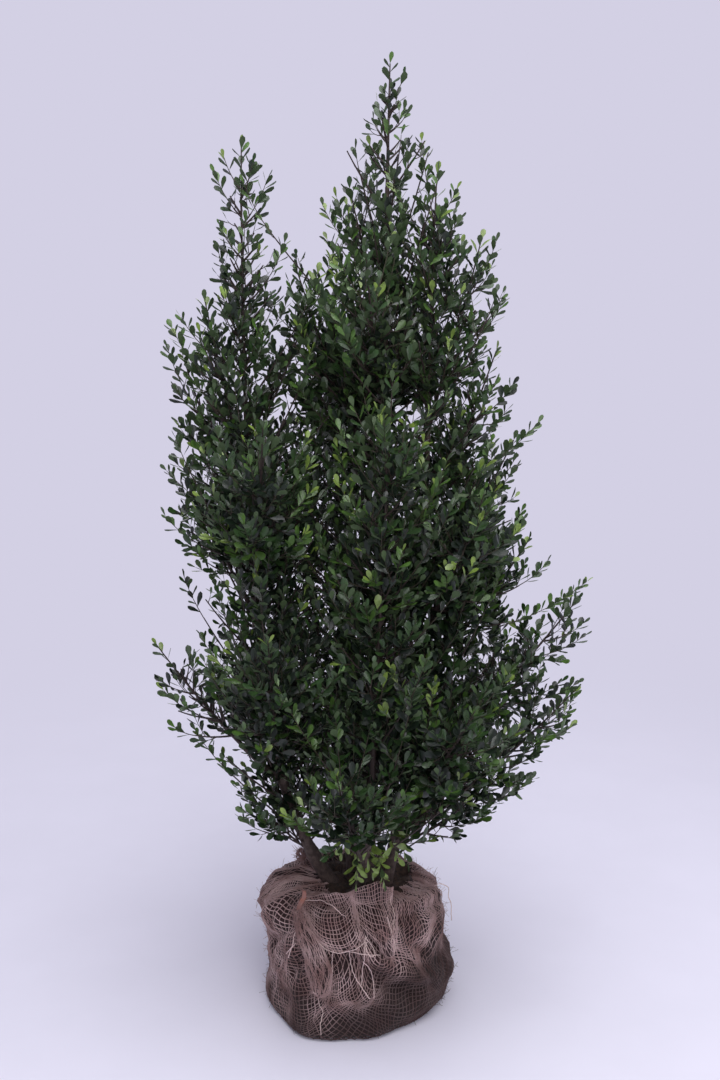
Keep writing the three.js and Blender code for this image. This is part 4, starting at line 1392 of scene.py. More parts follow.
# How much wider or narrower than the outline it sits at those heights, round it from +X in equal steps.
BALL_SPREAD = np.array(
    [
        (0.98, 1.0, 1.0, 1.0, 1.03, 1.05, 1.07, 1.05, 1.14, 1.03, 0.91, 0.91),
        (1.01, 1.01, 1.0, 1.0, 1.0, 1.0, 0.99, 1.0, 1.05, 1.0, 0.95, 0.97),
        (0.89, 0.93, 0.97, 1.0, 1.02, 1.02, 1.01, 1.02, 1.02, 0.97, 0.93, 0.91),
        (1.04, 1.05, 1.06, 1.1, 1.14, 1.21, 1.25, 1.2, 1.06, 0.98, 1.0, 1.02),
    ]
)
BALL_FOLDS = 6
BALL_FOLD = 0.0035
FOLDS_FROM = 0.35  # share of its height
FOLDS_SLANT = 12
SPREAD_FROM = 0.068  # from this radius on, and over this much more, it spreads
SPREAD_OVER = 0.016
OUTLINE_STEP = 0.001
ROUNDING = 8  # steps to either side that round the outline's corners
WALL = (143, 386)  # the outline's steps from the foot to the top of the rim

CLOTH_RUN = 0.392  # how far it reaches from the middle of the underside
DIP_TURN = 275  # where its edge dips at the front, in degrees
DIP_HALF = 20
DIP_DEPTH = 0.066
INSIDE_TURN = 190  # where it reaches inwards on the left
INSIDE_HALF = 75
INSIDE_REACH = 0.022
NET_TURN = 305  # the way one yarn family runs, in degrees
THINNED_RUN = 0.25  # past this, every other upward yarn is dropped
EDGE_WAVE = 0.003
EDGE_WAVES = 5
PROBE = 0.01  # how far off a second point is taken, to find the way out
FIELD_TERMS = 14
FIELD_CHANCE = (0.7, 1.4)

# How the cloth stands off the ball's plain shape.
SEAT = 0.003  # how far below it the cloth lies
GROUND = 0.02  # below this height the cloth lies closer to it
LUMPS = ((1, 0.11, 3), (0.5, 0.04, 4))  # share of the setting, wavelength and seed
GATHER_FROM = 0.09  # from this height on, and over this much more, it has pleats
GATHER_OVER = 0.11
PLEATS = ((1, 17, 1, 9), (0.7, 29, 2.2, -14))  # share, how many, where they begin and how they slant
PLEAT_SHARE = 0.4

# Creases: each one's path as turns in degrees and heights, how far it stands out, and how wide it is.
CREASES = (
    (((268, 0.154), (272, 0.15), (288.5, 0.121), (311, 0.087), (332, 0.069)), 0.011, 0.018),
    (((264.5, 0.133), (274, 0.109), (288, 0.084), (306, 0.062)), -0.014, 0.026),
    (((302.5, 0.199), (334, 0.198), (348, 0.194), (352, 0.185)), 0.009, 0.012),
    (((300, 0.186), (332, 0.183), (346, 0.178)), -0.004, 0.012),
    (((226.5, 0.181), (218, 0.16), (197.5, 0.115)), -0.011, 0.018),
    (((236, 0.141), (232, 0.121), (225.5, 0.094)), -0.012, 0.018),
    (((303, 0.189), (303, 0.168), (310, 0.14), (318, 0.117)), -0.01, 0.018),
    (((206, 0.19), (196, 0.15), (188, 0.09)), 0.005, 0.02),
    (((342, 0.17), (334, 0.132), (326, 0.112)), 0.006, 0.018),
    (((252, 0.08), (250, 0.045), (246, 0.015)), -0.004, 0.018),
    (((204, 0.2), (190, 0.176), (180, 0.16)), 0.004, 0.009),
    (((206, 0.198), (200, 0.172), (192, 0.15)), 0.004, 0.008),
    (((208, 0.198), (212, 0.176), (210, 0.15)), 0.004, 0.008),
    (((20, 0.185), (35, 0.12), (60, 0.06)), 0.007, 0.022),
    (((52, 0.19), (66, 0.14), (84, 0.1)), -0.008, 0.02),
    (((98, 0.185), (106, 0.12), (102, 0.06)), 0.006, 0.02),
    (((128, 0.19), (124, 0.13), (132, 0.08)), -0.008, 0.02),
    (((146, 0.18), (152, 0.11), (168, 0.05)), 0.007, 0.022),
)


def hessian():
    return bpy.context.scene.holly_hessian


@cache
def ball_outline():
    """The rounded outline in even steps: the distance run, radius and height, and the way out."""
    corners = np.array(BALL_OUTLINE)
    marks = np.concatenate([[0], np.cumsum(np.linalg.norm(np.diff(corners, axis=0), axis=1))])
    run = np.arange(0, marks[-1], OUTLINE_STEP)
    line = np.stack([np.interp(run, marks, corners[:, axis]) for axis in (0, 1)], axis=1)
    wide = np.pad(line, ((ROUNDING, ROUNDING), (0, 0)), mode="reflect", reflect_type="odd")
    kernel = np.ones(2 * ROUNDING + 1) / (2 * ROUNDING + 1)
    line = np.stack([np.convolve(wide[:, axis], kernel, "valid") for axis in (0, 1)], axis=1)
    ahead = unit(np.gradient(line, axis=0))
    return run, line, np.stack([ahead[:, 1], -ahead[:, 0]], axis=1)


def run_at(height):
    """The distance run at which the ball's side is at a height."""
    run, line, _ = ball_outline()
    wall = slice(*WALL)
    return np.interp(height, line[wall, 1], run[wall])


def ball_spread(turn, height):
    """How far the sack spreads and folds at an angle and a height, as in the source."""
    turn, height = np.broadcast_arrays(turn, height)
    steps = BALL_SPREAD.shape[1]
    place = turn / (2 * math.pi) % 1 * steps
    step = np.floor(place).astype(int)
    levels = mix(BALL_SPREAD[:, step % steps], BALL_SPREAD[:, (step + 1) % steps], smooth(place - step))
    marks = np.array(BALL_LEVELS)
    level = np.clip(np.searchsorted(marks, height, side="right"), 1, len(marks) - 1)
    rise = smooth((height - marks[level - 1]) / (marks[level] - marks[level - 1]))
    lower, upper = (np.take_along_axis(levels, which[None], axis=0)[0] for which in (level - 1, level))
    share = smooth((height - FOLDS_FROM * BALL_HEIGHT) / ((1 - FOLDS_FROM) * BALL_HEIGHT))
    fold = BALL_FOLD / BALL_RADIUS * share * np.cos(BALL_FOLDS * turn + FOLDS_SLANT * height)
    return mix(lower, upper, rise) + fold


def on_ball(turn, run, out=0.0):
    """Points on the ball at an angle and a distance run over it, pushed out."""
    marks, line, away = ball_outline()
    radius, height, across, upward = (
        np.interp(run, marks, values) for values in (line[:, 0], line[:, 1], away[:, 0], away[:, 1])
    )
    factor = mix(1, ball_spread(turn, height), smooth((radius - SPREAD_FROM) / SPREAD_OVER))
    reach = radius * factor + across * out
    lifted = np.maximum(height + upward * out, 0)
    return np.stack([reach * np.cos(turn), reach * np.sin(turn), lifted], axis=-1)


def field(points, wavelength, seed):
    """A smooth random wave through space, mostly from -2 to 2."""
    random = np.random.default_rng(seed)
    ways = unit(random.normal(size=(FIELD_TERMS, 3))) * 2 * math.pi / wavelength
    ways = ways * random.uniform(*FIELD_CHANCE, (FIELD_TERMS, 1))
    phases = random.uniform(0, 2 * math.pi, FIELD_TERMS)
    return np.cos(points @ ways.T + phases).sum(-1) * math.sqrt(2 / FIELD_TERMS)


def gap_to_piece(points, start, end):
    """The distance from points to a straight piece of a line."""
    way = end - start
    share = np.clip((points - start) @ way / (way @ way), 0, 1)
    return np.linalg.norm(points - start - share[..., None] * way, axis=-1)


def creases(turn, height):
    """How far the creases lift the cloth out or sink it."""
    total = np.zeros(np.broadcast(turn, height).shape)
    for path, out, width in CREASES:
        path = np.array(path)
        off = (np.degrees(turn) - path[0, 0] + 180) % 360 - 180
        points = np.stack(np.broadcast_arrays(np.radians(off) * BALL_RADIUS, height), axis=-1)
        line = np.stack([np.radians(path[:, 0] - path[0, 0]) * BALL_RADIUS, path[:, 1]], axis=1)
        gaps = [gap_to_piece(points, start, end) for start, end in zip(line[:-1], line[1:])]
        total += out * smooth(1 - np.min(gaps, axis=0) / width)
    return total


def drape(turn, run):
    """How far the cloth stands off the ball's plain shape: lumps, creases, and pleats towards the top."""
    sizes = hessian()
    points = on_ball(turn, run)
    height = points[..., 2]
    lumps = sizes.lump * sum(share * field(points, *wave) for share, *wave in LUMPS)
    gather = smooth((height - GATHER_FROM) / GATHER_OVER)
    pleats = sum(share * np.cos(many * turn + at + slant * height) for share, many, at, slant in PLEATS)
    raised = lumps + PLEAT_SHARE * sizes.fold * gather * pleats + creases(turn, height) - SEAT
    return raised * smooth(height / GROUND)


def cloth_edge(turn):
    """The distance run at which the cloth ends: it dips at the front and reaches inwards on the left."""
    degrees = np.degrees(turn) % 360
    dip = DIP_DEPTH * smooth(1 - np.abs(degrees - DIP_TURN) / DIP_HALF)
    inside = INSIDE_REACH * smooth(1 - np.abs(degrees - INSIDE_TURN) / INSIDE_HALF)
    return CLOTH_RUN - dip + inside + EDGE_WAVE * np.cos(EDGE_WAVES * turn + 1)


def closed_grid(bottom, rows, top):
    """Vertices and faces of a closed shape: a point, rings of points, and a point."""
    rings, sides = rows.shape[:2]
    vertices = np.concatenate([[bottom], rows.reshape(-1, 3), [top]])
    ring = np.arange(sides)
    after = (ring + 1) % sides
    first = 1 + np.arange(rings - 1)[:, None] * sides
    quads = np.stack([first + ring, first + after, first + sides + after, first + sides + ring], axis=-1)
    faces = [(0, 1 + int(b), 1 + int(a)) for a, b in zip(ring, after)]
    faces += quads.reshape(-1, 4).tolist()
    last = 1 + (rings - 1) * sides
    faces += [(last + int(a), last + int(b), len(vertices) - 1) for a, b in zip(ring, after)]
    return vertices, faces


YARN_SIDES = 3
THREAD_SIDES = 4


def yarns(name, lines, material, sides, *nodes):
    """Yarns or threads along lines, as one piece."""
    piece = shaped(lines_object(name, lines), tube_tree(), {"Sides": sides, "Material": material})
    return finished(piece, "hessian", *nodes)


def jute(name="jute yarn", soiled=0.85):
    sizes = hessian()
    colours = sizes.tan[:], sizes.brown[:], sizes.stain[:]
    return jute_material(name, *colours, rough=0.9, soil_share=soiled)


def clean_jute():
    return jute("jute yarn, cleaner", soiled=0.2)


# A real inner layer of cloth, made near-black as painted shade. It lies under the weave, behind the bib and
# inside the tails, so their holes look dark.
def inner_cloth_and_shade():
    sizes = hessian()
    colours = sizes.under[:], sizes.dense[:], sizes.earth[:]
    return jute_material("inner cloth", *colours, rough=0.95, soil_share=0.7, patches_per_metre=11.0)


BALL_RINGS = 110
BALL_SIDES = 216
BALL_ENDS = 0.004  # how far its first and last ring lie from the outline's ends
EARTH_SUNK = 0.002
CLODS = (0.0022, 0.03, 8)  # height, wavelength and seed
CRUMBS = (0.0016, 0.012, 9)


class HOLLY_OT_ball(bpy.types.Operator):
    """The ball itself: an inner layer of stained cloth, near-black as painted shade behind the open weave,
    and moist earth where the cloth leaves it bare
    """

    bl_idname = "holly.ball"
    bl_label = "Ball and earth"

    def execute(self, context):
        sizes = context.scene.holly_hessian
        run, line, _ = ball_outline()
        marks = np.linspace(BALL_ENDS, run[-1] - BALL_ENDS, BALL_RINGS)[:, None]
        turn = np.linspace(0, 2 * math.pi, BALL_SIDES, endpoint=False)[None, :]
        marks, turn = np.broadcast_arrays(marks, turn)
        bare = marks > cloth_edge(turn)
        plain = on_ball(turn, marks)
        clods = CLODS[0] * field(plain, *CLODS[1:]) + CRUMBS[0] * np.abs(field(plain, *CRUMBS[1:]))
        under = drape(turn, marks) - sizes.gap
        rows = on_ball(turn, marks, np.where(bare, clods - EARTH_SUNK, under))
        vertices, faces = closed_grid((0, 0, 0), rows, (0, 0, line[-1, 1]))
        piece = mesh_object("ball_and_earth", vertices, faces=faces)
        piece.data.materials.append(inner_cloth_and_shade())
        piece.data.materials.append(earth_material("moist earth", sizes.earth[:], sizes.clod[:]))
        which = np.zeros(len(faces), np.int32)
        which[BALL_SIDES : BALL_SIDES + bare[:-1].size] = bare[:-1].ravel()
        which[BALL_SIDES + bare[:-1].size :] = 1
        piece.data.polygons.foreach_set("material_index", which)
        smooth_faces(piece)
        finished(piece, "hessian", "root_ball")
        return {"FINISHED"}


PULLS = ((1, 0.13, 21), (0.12, 0.03, 23))  # share of the slack, wavelength, first of two seeds
EDGE_CHANCE = (-0.002, 0.007)  # where a yarn ends, from the cloth's edge
THINNED_CHANCE = (-0.02, 0.02)
UPWARDS = 0.6  # share of the way out beyond which a yarn counts as running upwards
OVER_UNDER = 0.45  # in yarn radii
EDGE_LIFT = 0.004  # of the net, which curls up there
EDGE_LIFT_FROM = 0.008
EDGE_LIFT_OVER = 0.01
LOWEST_YARN = 1.3  # yarn radii above the ground
YARN_CHANCE = (0.6, 1.2)


def kept_above(points, height):
    """The points, with those that lie lower lifted to a height."""
    return np.maximum(points, (-1, -1, height))


def pulls(flat, slack):
    """How far places in the flat net are pulled out of square, by one wave after the other."""
    for share, wavelength, seed in PULLS:
        waves = [field(flat, wavelength, which) for which in (seed, seed + 1)]
        yield share * slack * np.stack(waves, axis=1)


def stretches(shown):
    """The unbroken stretches of a line that show, as the places of their points."""
    for part in np.split(np.arange(len(shown)), np.flatnonzero(np.diff(shown.astype(int))) + 1):
        if len(part) > 2 and shown[part[0]]:
            yield part


def net_lines(along_first, random):
    """One family of the net's yarns, woven over and under the other and pulled out of square."""
    sizes = hessian()
    count = int((CLOTH_RUN + INSIDE_REACH) / sizes.pitch) + 2
    marks = np.arange(-count, count + 1)
    lines = []
    for place in marks:
        fixed = np.full(len(marks), place)
        first, second = (fixed, marks) if along_first else (marks, fixed)
        flat = np.stack([first, second, 0 * marks], axis=1) * sizes.pitch
        u, v = (flat[:, :2] + sum(pulls(flat, sizes.slack))).T
        run = np.hypot(u, v)
        turn = np.arctan2(v, u) + math.radians(NET_TURN)
        edge = cloth_edge(turn) + random.uniform(*EDGE_CHANCE)
        thinned = THINNED_RUN + random.uniform(*THINNED_CHANCE)
        upwards = np.abs(v if along_first else u) > UPWARDS * run
        shown = (run < edge) & ((place % 2 == 0) | ~upwards | (run < thinned))
        over = np.where((first + second) % 2 == (0 if along_first else 1), 1, -1)
        lift = EDGE_LIFT * smooth((run - edge + EDGE_LIFT_FROM) / EDGE_LIFT_OVER)
        out = drape(turn, run) - sizes.yarn + OVER_UNDER * sizes.yarn * over + lift
        points = kept_above(on_ball(turn, run, out), LOWEST_YARN * sizes.yarn)
        lines += [(points[part], sizes.yarn * random.uniform(*YARN_CHANCE)) for part in stretches(shown)]
    return lines


class HOLLY_OT_weave(bpy.types.Operator):
    """The open weave round the ball: two families of yarns"""

    bl_idname = "holly.weave"
    bl_label = "Weave"

    def execute(self, context):
        random = np.random.default_rng(SEED + 1)
        for name, along_first in (("weave_warp", True), ("weave_weft", False)):
            yarns(name, net_lines(along_first, random), jute(), YARN_SIDES, "root_ball")
        return {"FINISHED"}


RIM_HEIGHT = 0.2035
CORNER_ROUNDS = 3
CORNER_CUT = 0.25


def cloth_point(turn_degrees, height, out):
    """A point over the draped cloth. Past the rim it stands up from it."""
    turn = np.radians(turn_degrees)
    run = run_at(np.minimum(height, RIM_HEIGHT))
    above = np.maximum(height - RIM_HEIGHT, 0)
    return on_ball(turn, run, drape(turn, run) + out) + above[..., None] * UP


def curved(path):
    """A smooth line along a path, made by cutting its corners."""
    path = np.array(path, float)
    for _ in range(CORNER_ROUNDS):
        cuts = [mix(path[:-1], path[1:], share) for share in (CORNER_CUT, 1 - CORNER_CUT)]
        between = np.stack(cuts, axis=1).reshape(-1, path.shape[1])
        path = np.concatenate([path[:1], between, path[-1:]])
    return path


def along_path(path, share):
    """Points of a path at shares of its corners, rounded off."""
    line = curved(path)
    marks = shares(len(line))
    return np.stack([np.interp(share, marks, line[:, axis]) for axis in range(line.shape[1])], axis=-1)


# A lobe of the bib: its top edge and its hem as turns and heights, how far its middle stands off, its folds,
# how many yarns run down and across it, and the seed of its ripples.
Lobe = namedtuple("Lobe", "name top hem stand folds columns rows seed")
LOBES = (
    Lobe(
        name="left",
        top=((223, 0.205), (234, 0.216), (248, 0.224), (261, 0.23)),
        hem=((226, 0.196), (236, 0.182), (246, 0.16), (256, 0.147), (265, 0.152), (271, 0.174), (268, 0.2)),
        stand=0.011,
        folds=2.6,
        columns=31,
        rows=17,
        seed=35,
    ),
    Lobe(
        name="right",
        top=((262, 0.228), (272, 0.236), (287, 0.242), (300, 0.228)),
        hem=((264, 0.198), (270, 0.184), (279, 0.168), (286, 0.158), (291, 0.15), (295, 0.172), (299, 0.196)),
        stand=0.009,
        folds=1.7,
        columns=27,
        rows=15,
        seed=36,
    ),
)
LOBE_STAND = 0.004  # of its edges
LOBE_WAVE = 0.0035
LOBE_SWAY = (0.25, 5)  # how much its folds sway sideways, and how often
LOBE_SIZE = 0.12
RIPPLE = 0.0016
RIPPLE_LENGTH = 0.045
LOBE_WEAVE = 0.4  # in yarn radii
LOBE_YARN_CHANCE = (0.6, 1.1)
ROW_POINTS = 49
ROW_DRIFT = 0.012
ROW_WAVES = 9
COLUMN_POINTS = 25
COLUMN_DRIFT = 0.008
COLUMN_WAVES = 7
LOOSE_ENDS = (0, 0.16)  # how far half of the yarns hang past the hem
LOOSE_CHANCE = 0.5
ANY_PHASE = (0, 6)


def lobe_points(lobe, u, v, out):
    """A lobe of cloth: u along its top and hem from 0 to 1, v from the top to the hem."""
    u, v = np.broadcast_arrays(u, v)
    place = mix(along_path(lobe.top, u), along_path(lobe.hem, u), v[..., None])
    middle = np.sin(math.pi * np.clip(u, 0, 1))
    spot = np.stack([LOBE_SIZE * u, LOBE_SIZE * v, 0 * u], axis=-1)
    sway = LOBE_SWAY[0] * np.sin(LOBE_SWAY[1] * u)
    waves = np.sin(2 * math.pi * (lobe.folds * v + sway)) * middle
    ripples = RIPPLE * field(spot, RIPPLE_LENGTH, lobe.seed)
    stand = LOBE_STAND + lobe.stand * middle * v + LOBE_WAVE * waves + ripples
    return cloth_point(place[..., 0], place[..., 1], stand + out)


def shell(name, front, back):
    """A thin closed sheet between two grids of points."""
    rows, columns = front.shape[:2]
    size = rows * columns
    first = (np.arange(rows - 1)[:, None] * columns + np.arange(columns - 1)).ravel()
    faces = np.stack([first, first + 1, first + columns + 1, first + columns], axis=1).tolist()
    faces += [[size + corner for corner in reversed(face)] for face in faces]
    rim = [*range(columns), *range(2 * columns - 1, size, columns)]
    rim += [*range(size - 2, size - columns - 1, -1), *range(size - 2 * columns, 0, -columns)]
    for here, after in zip(rim, [*rim[1:], rim[0]]):
        faces.append([after, here, size + here, size + after])
    piece = mesh_object(name, np.concatenate([front.reshape(-1, 3), back.reshape(-1, 3)]), faces=faces)
    smooth_faces(piece)
    return piece


def lobe_yarns(lobe, random):
    """The lobe's yarns, woven over and under, with loose ends below the hem."""
    sizes = hessian()
    lines = []
    swing = LOBE_WEAVE * sizes.yarn
    for row, v in enumerate(shares(lobe.rows)):
        u = shares(ROW_POINTS)
        wave = v + ROW_DRIFT * np.sin(ROW_WAVES * u + random.uniform(*ANY_PHASE)) + 0.5 * sizes.yarn
        lift = swing * np.sin(math.pi * lobe.columns * u + math.pi * row)
        line = lobe_points(lobe, u, np.clip(wave, 0, 1), lift)
        lines.append((line, sizes.yarn * random.uniform(*LOBE_YARN_CHANCE)))
    for column, u in enumerate(shares(lobe.columns)):
        loose = random.uniform(*LOOSE_ENDS) * (random.random() < LOOSE_CHANCE)
        v = np.linspace(0, 1 + loose, COLUMN_POINTS)
        drift = u + COLUMN_DRIFT * np.sin(COLUMN_WAVES * v + random.uniform(*ANY_PHASE))
        lift = -swing * np.sin(math.pi * lobe.rows * v + math.pi * column)
        line = lobe_points(lobe, np.clip(drift, 0, 1), v, lift)
        lines.append((line, sizes.yarn * random.uniform(*LOBE_YARN_CHANCE)))
    return lines


LINING_GRID = (41, 21)
LINING_HEM = 0.97
LINING_BELOW = (0.0032, 0.0042)  # how far below the yarns its two sides lie


class HOLLY_OT_bib(bpy.types.Operator):
    """The two lobes of loose net that hang in folds under the front edge"""

    bl_idname = "holly.bib"
    bl_label = "Hanging bib"

    def execute(self, context):
        random = np.random.default_rng(SEED + 2)
        lines = []
        for lobe in LOBES:
            across, down = LINING_GRID
            u, v = np.meshgrid(shares(across), np.linspace(0, LINING_HEM, down))
            # The lining is a dark sheet of the inner layer behind the bib's yarns: painted shade in the net's
            # holes.
            front, back = (lobe_points(lobe, u, v, -gap) for gap in LINING_BELOW)
            under = shell("bib_lining_" + lobe.name, front, back)
            under.data.materials.append(inner_cloth_and_shade())
            finished(under, "hessian", "hessian_apron")
            lines += lobe_yarns(lobe, random)
        yarns("bib_yarns", lines, clean_jute(), YARN_SIDES, "hessian_apron")
        return {"FINISHED"}


# A gathered tail of cloth: its path as turns and heights, its widths, thickness, yarns and how far they fray.
Tail = namedtuple("Tail", "name path widths thick yarns fray")
TAILS = (
    Tail(
        name="left",
        path=((229, 0.192), (233, 0.178), (240, 0.156), (245, 0.122), (248, 0.096), (249, 0.08)),
        widths=(0.018, 0.026, 0.034, 0.038, 0.034, 0.018),
        thick=0.02,
        yarns=96,
        fray=0.003,
    ),
    Tail(
        name="right",
        path=((282, 0.178), (284, 0.168), (287, 0.152), (290, 0.136)),
        widths=(0.016, 0.022, 0.02, 0.012),
        thick=0.01,
        yarns=26,
        fray=0.018,
    ),
)
TAIL_REST = (0.002, 0.45)  # how far off the cloth it lies, and how much of its thickness besides
TAIL_STEPS = 30
TAIL_SIDES = 20
TAIL_CORE = 0.9  # size of the core inside the yarns
TAIL_ENDS = (0.2, 0.35)  # how wide and how thick its ends stay
TAIL_BLUNTNESS = 8
TAIL_LUMPS = ((0.06, 11, 1), (0.04, 23, 0))  # height, waves and where they begin
TAIL_SPACING = (-0.4, 0.4)
TAIL_TWIST = 0.8
TWIST_CHANCE = (3, 7)
TAIL_WAVE = 0.07
WAVE_CHANCE = (10, 22)
FRAY_STRAY = 0.5
FRAY_CHANCE = (0.1, 1)
FRAY_POINTS = 3
TAIL_YARN_CHANCE = (0.45, 0.8)


class Rope:
    """A gathered tail of cloth: its middle line, and the directions across it and out of it."""

    def __init__(self, tail, steps):
        t = shares(steps)
        place = along_path(tail.path, t)
        rest = TAIL_REST[0] + TAIL_REST[1] * tail.thick
        self.middle = cloth_point(place[:, 0], place[:, 1], rest)
        self.out = unit(cloth_point(place[:, 0], place[:, 1], rest + PROBE) - self.middle)
        self.along = unit(np.gradient(self.middle, axis=0))
        self.across = unit(np.cross(self.out, self.along))
        ends = np.sqrt(np.clip(1 - (2 * t - 1) ** TAIL_BLUNTNESS, 0, 1))
        widths = np.interp(t, shares(len(tail.widths)), tail.widths)
        lumps = sum((high * np.sin(waves * t + at) for high, waves, at in TAIL_LUMPS), 1)
        self.half_width = 0.5 * widths * lumps * mix(TAIL_ENDS[0], 1, ends)
        self.half_thick = 0.5 * tail.thick * mix(TAIL_ENDS[1], 1, ends)
        self.share = t

    def around(self, angle, size):
        """Points at an angle round the rope, at a share of its thickness."""
        sideways = (self.half_width * size * np.cos(angle))[:, None] * self.across
        return self.middle + sideways + (self.half_thick * size * np.sin(angle))[:, None] * self.out


def rope_yarns(rope, tail, random):
    """Yarns along a rope, drawn together and frayed at its end."""
    sizes = hessian()
    lines = []
    for k in range(tail.yarns):
        angle = 2 * math.pi * (k + random.uniform(*TAIL_SPACING)) / tail.yarns
        twist = np.sin(random.uniform(*TWIST_CHANCE) * rope.share + random.uniform(*ANY_PHASE))
        wave = np.sin(random.uniform(*WAVE_CHANCE) * rope.share + random.uniform(*ANY_PHASE))
        line = rope.around(angle + TAIL_TWIST * twist, 1 + TAIL_WAVE * wave)
        way = unit(rope.along[-1] + random.normal(0, FRAY_STRAY, 3))
        loose = tail.fray * random.uniform(*FRAY_CHANCE) * np.linspace(0.3, 1, FRAY_POINTS)[:, None] * way
        radius = sizes.yarn * random.uniform(*TAIL_YARN_CHANCE)
        lines.append((np.concatenate([line, line[-1] + loose]), radius))
    return lines


class HOLLY_OT_tails(bpy.types.Operator):
    """The rope-like gathered tails under the bib"""

    bl_idname = "holly.tails"
    bl_label = "Gathered tails"

    def execute(self, context):
        random = np.random.default_rng(SEED + 3)
        for tail in TAILS:
            node_name = "hessian_tail_" + tail.name
            rope = Rope(tail, TAIL_STEPS)
            turns = np.linspace(0, 2 * math.pi, TAIL_SIDES, endpoint=False)
            # The core is of the near-black inner layer: painted shade between the tail's yarns.
            rows = np.stack([rope.around(np.full(TAIL_STEPS, -turn), TAIL_CORE) for turn in turns], axis=1)
            vertices, faces = closed_grid(rope.middle[0], rows, rope.middle[-1])
            core = mesh_object(f"tail_{tail.name}_core", vertices, faces=faces)
            smooth_faces(core)
            core.data.materials.append(inner_cloth_and_shade())
            finished(core, "hessian", node_name)
            lines = rope_yarns(rope, tail, random)
            yarns(f"tail_{tail.name}_yarns", lines, clean_jute(), YARN_SIDES, node_name)
        return {"FINISHED"}


# Loose threads over the cloth: turn, height and how far each point stands off.
THREADS = (
    ((254, 0.15, 0.008), (252.5, 0.132, 0.006), (253.5, 0.113, 0.004), (252.5, 0.094, 0.004))
    + ((249, 0.078, 0.016), (245, 0.088, 0.018)),
    ((263.5, 0.151, 0.008), (263.5, 0.128, 0.006), (267.5, 0.107, 0.005), (275.5, 0.078, 0.004)),
    ((273, 0.17, 0.012), (272, 0.134, 0.007), (271, 0.097, 0.004)),
    ((272, 0.136, 0.006), (276.5, 0.121, 0.006), (279, 0.096, 0.006), (278, 0.077, 0.004)),
    ((245.5, 0.079, 0.004), (247, 0.063, 0.004), (249.5, 0.054, 0.004), (248, 0.036, 0.004))
    + ((248.5, 0.014, 0.003),),
    ((229, 0.168, 0.006), (228.5, 0.138, 0.006), (225.5, 0.122, 0.006)),
    ((230, 0.15, 0.005), (227.5, 0.138, 0.006), (224, 0.128, 0.005)),
    ((240, 0.172, 0.014), (247, 0.155, 0.015), (255, 0.147, 0.016), (264.5, 0.15, 0.014))
    + ((273, 0.165, 0.012),),
    ((246, 0.16, 0.012), (258.5, 0.148, 0.005), (272, 0.149, 0.005), (281.5, 0.144, 0.005)),
    ((273, 0.172, 0.014), (277, 0.159, 0.01), (279, 0.149, 0.008), (276, 0.143, 0.008))
    + ((273, 0.154, 0.009), (274, 0.165, 0.011)),
    ((288, 0.19, 0.014), (291, 0.165, 0.012), (293, 0.148, 0.01), (292, 0.136, 0.008)),
    ((298, 0.214, 0.006), (296, 0.195, 0.01), (293, 0.18, 0.012), (289, 0.16, 0.012)),
    ((346, 0.197, 0.006), (351, 0.192, 0.012), (354, 0.165, 0.014), (356, 0.13, 0.013)),
    ((222, 0.2, 0.004), (234, 0.205, 0.01), (250, 0.2, 0.014), (260, 0.192, 0.014)),
    ((60, 0.2, 0.006), (64, 0.17, 0.008), (60, 0.14, 0.006), (66, 0.115, 0.004)),
    ((118, 0.2, 0.006), (122, 0.165, 0.007), (130, 0.15, 0.006)),
)
THREAD_RADIUS = 0.8  # in yarn radii
THREAD_WANDER = 0.0003

KNOT_TURN = 152  # degrees
KNOT_REACH = 0.111
KNOT_HEIGHT = 0.217
KNOT_RADIUS = 0.0085
KNOT_SHAPE = (1, 1, 1.25)
KNOT_RINGS = 46
RING_POINTS = 9
KNOT_BENDS = (1.2, 3)  # radians
KNOT_CHANCE = (0.8, 1.1)
KNOT_YARN = 0.9  # in yarn radii
TUFT_ENDS = 70
TUFT_LIFT = 0.7
TUFT_BEND = 0.4
TUFT_YARN = 0.4
END_REACHES = (0.006, 0.016)

FIBRES = 1300
FIBRE_RUNS = (0.15, 0.385)
TAIL_FIBRES = 420
FIBRE_RADIUS = 0.00026
FIBRE_OUT = 0.35
FIBRE_BEND = 0.6
LOWEST_FIBRE = 0.001


def knot_lines(random):
    """A knotted tuft of yarn ends on the left shoulder."""
    sizes = hessian()
    turn = math.radians(KNOT_TURN)
    middle = np.array((KNOT_REACH * math.cos(turn), KNOT_REACH * math.sin(turn), KNOT_HEIGHT))
    lines = []
    for _ in range(KNOT_RINGS):
        start, side = unit(random.normal(size=3)), unit(random.normal(size=3))
        bend = np.linspace(0, random.uniform(*KNOT_BENDS), RING_POINTS)[:, None]
        ring = unit(start * np.cos(bend) + side * np.sin(bend)) * KNOT_RADIUS * random.uniform(*KNOT_CHANCE)
        lines.append((middle + ring * KNOT_SHAPE, KNOT_YARN * sizes.yarn))
    for _ in range(TUFT_ENDS):
        way = unit(random.normal(size=3) + TUFT_LIFT * UP)
        bent = unit(way + random.normal(0, TUFT_BEND, 3))
        foot = middle + KNOT_CHANCE[0] * KNOT_RADIUS * way
        lines.append((bent_line(foot, way, bent, random.uniform(*END_REACHES), 3), TUFT_YARN * sizes.yarn))
    return lines


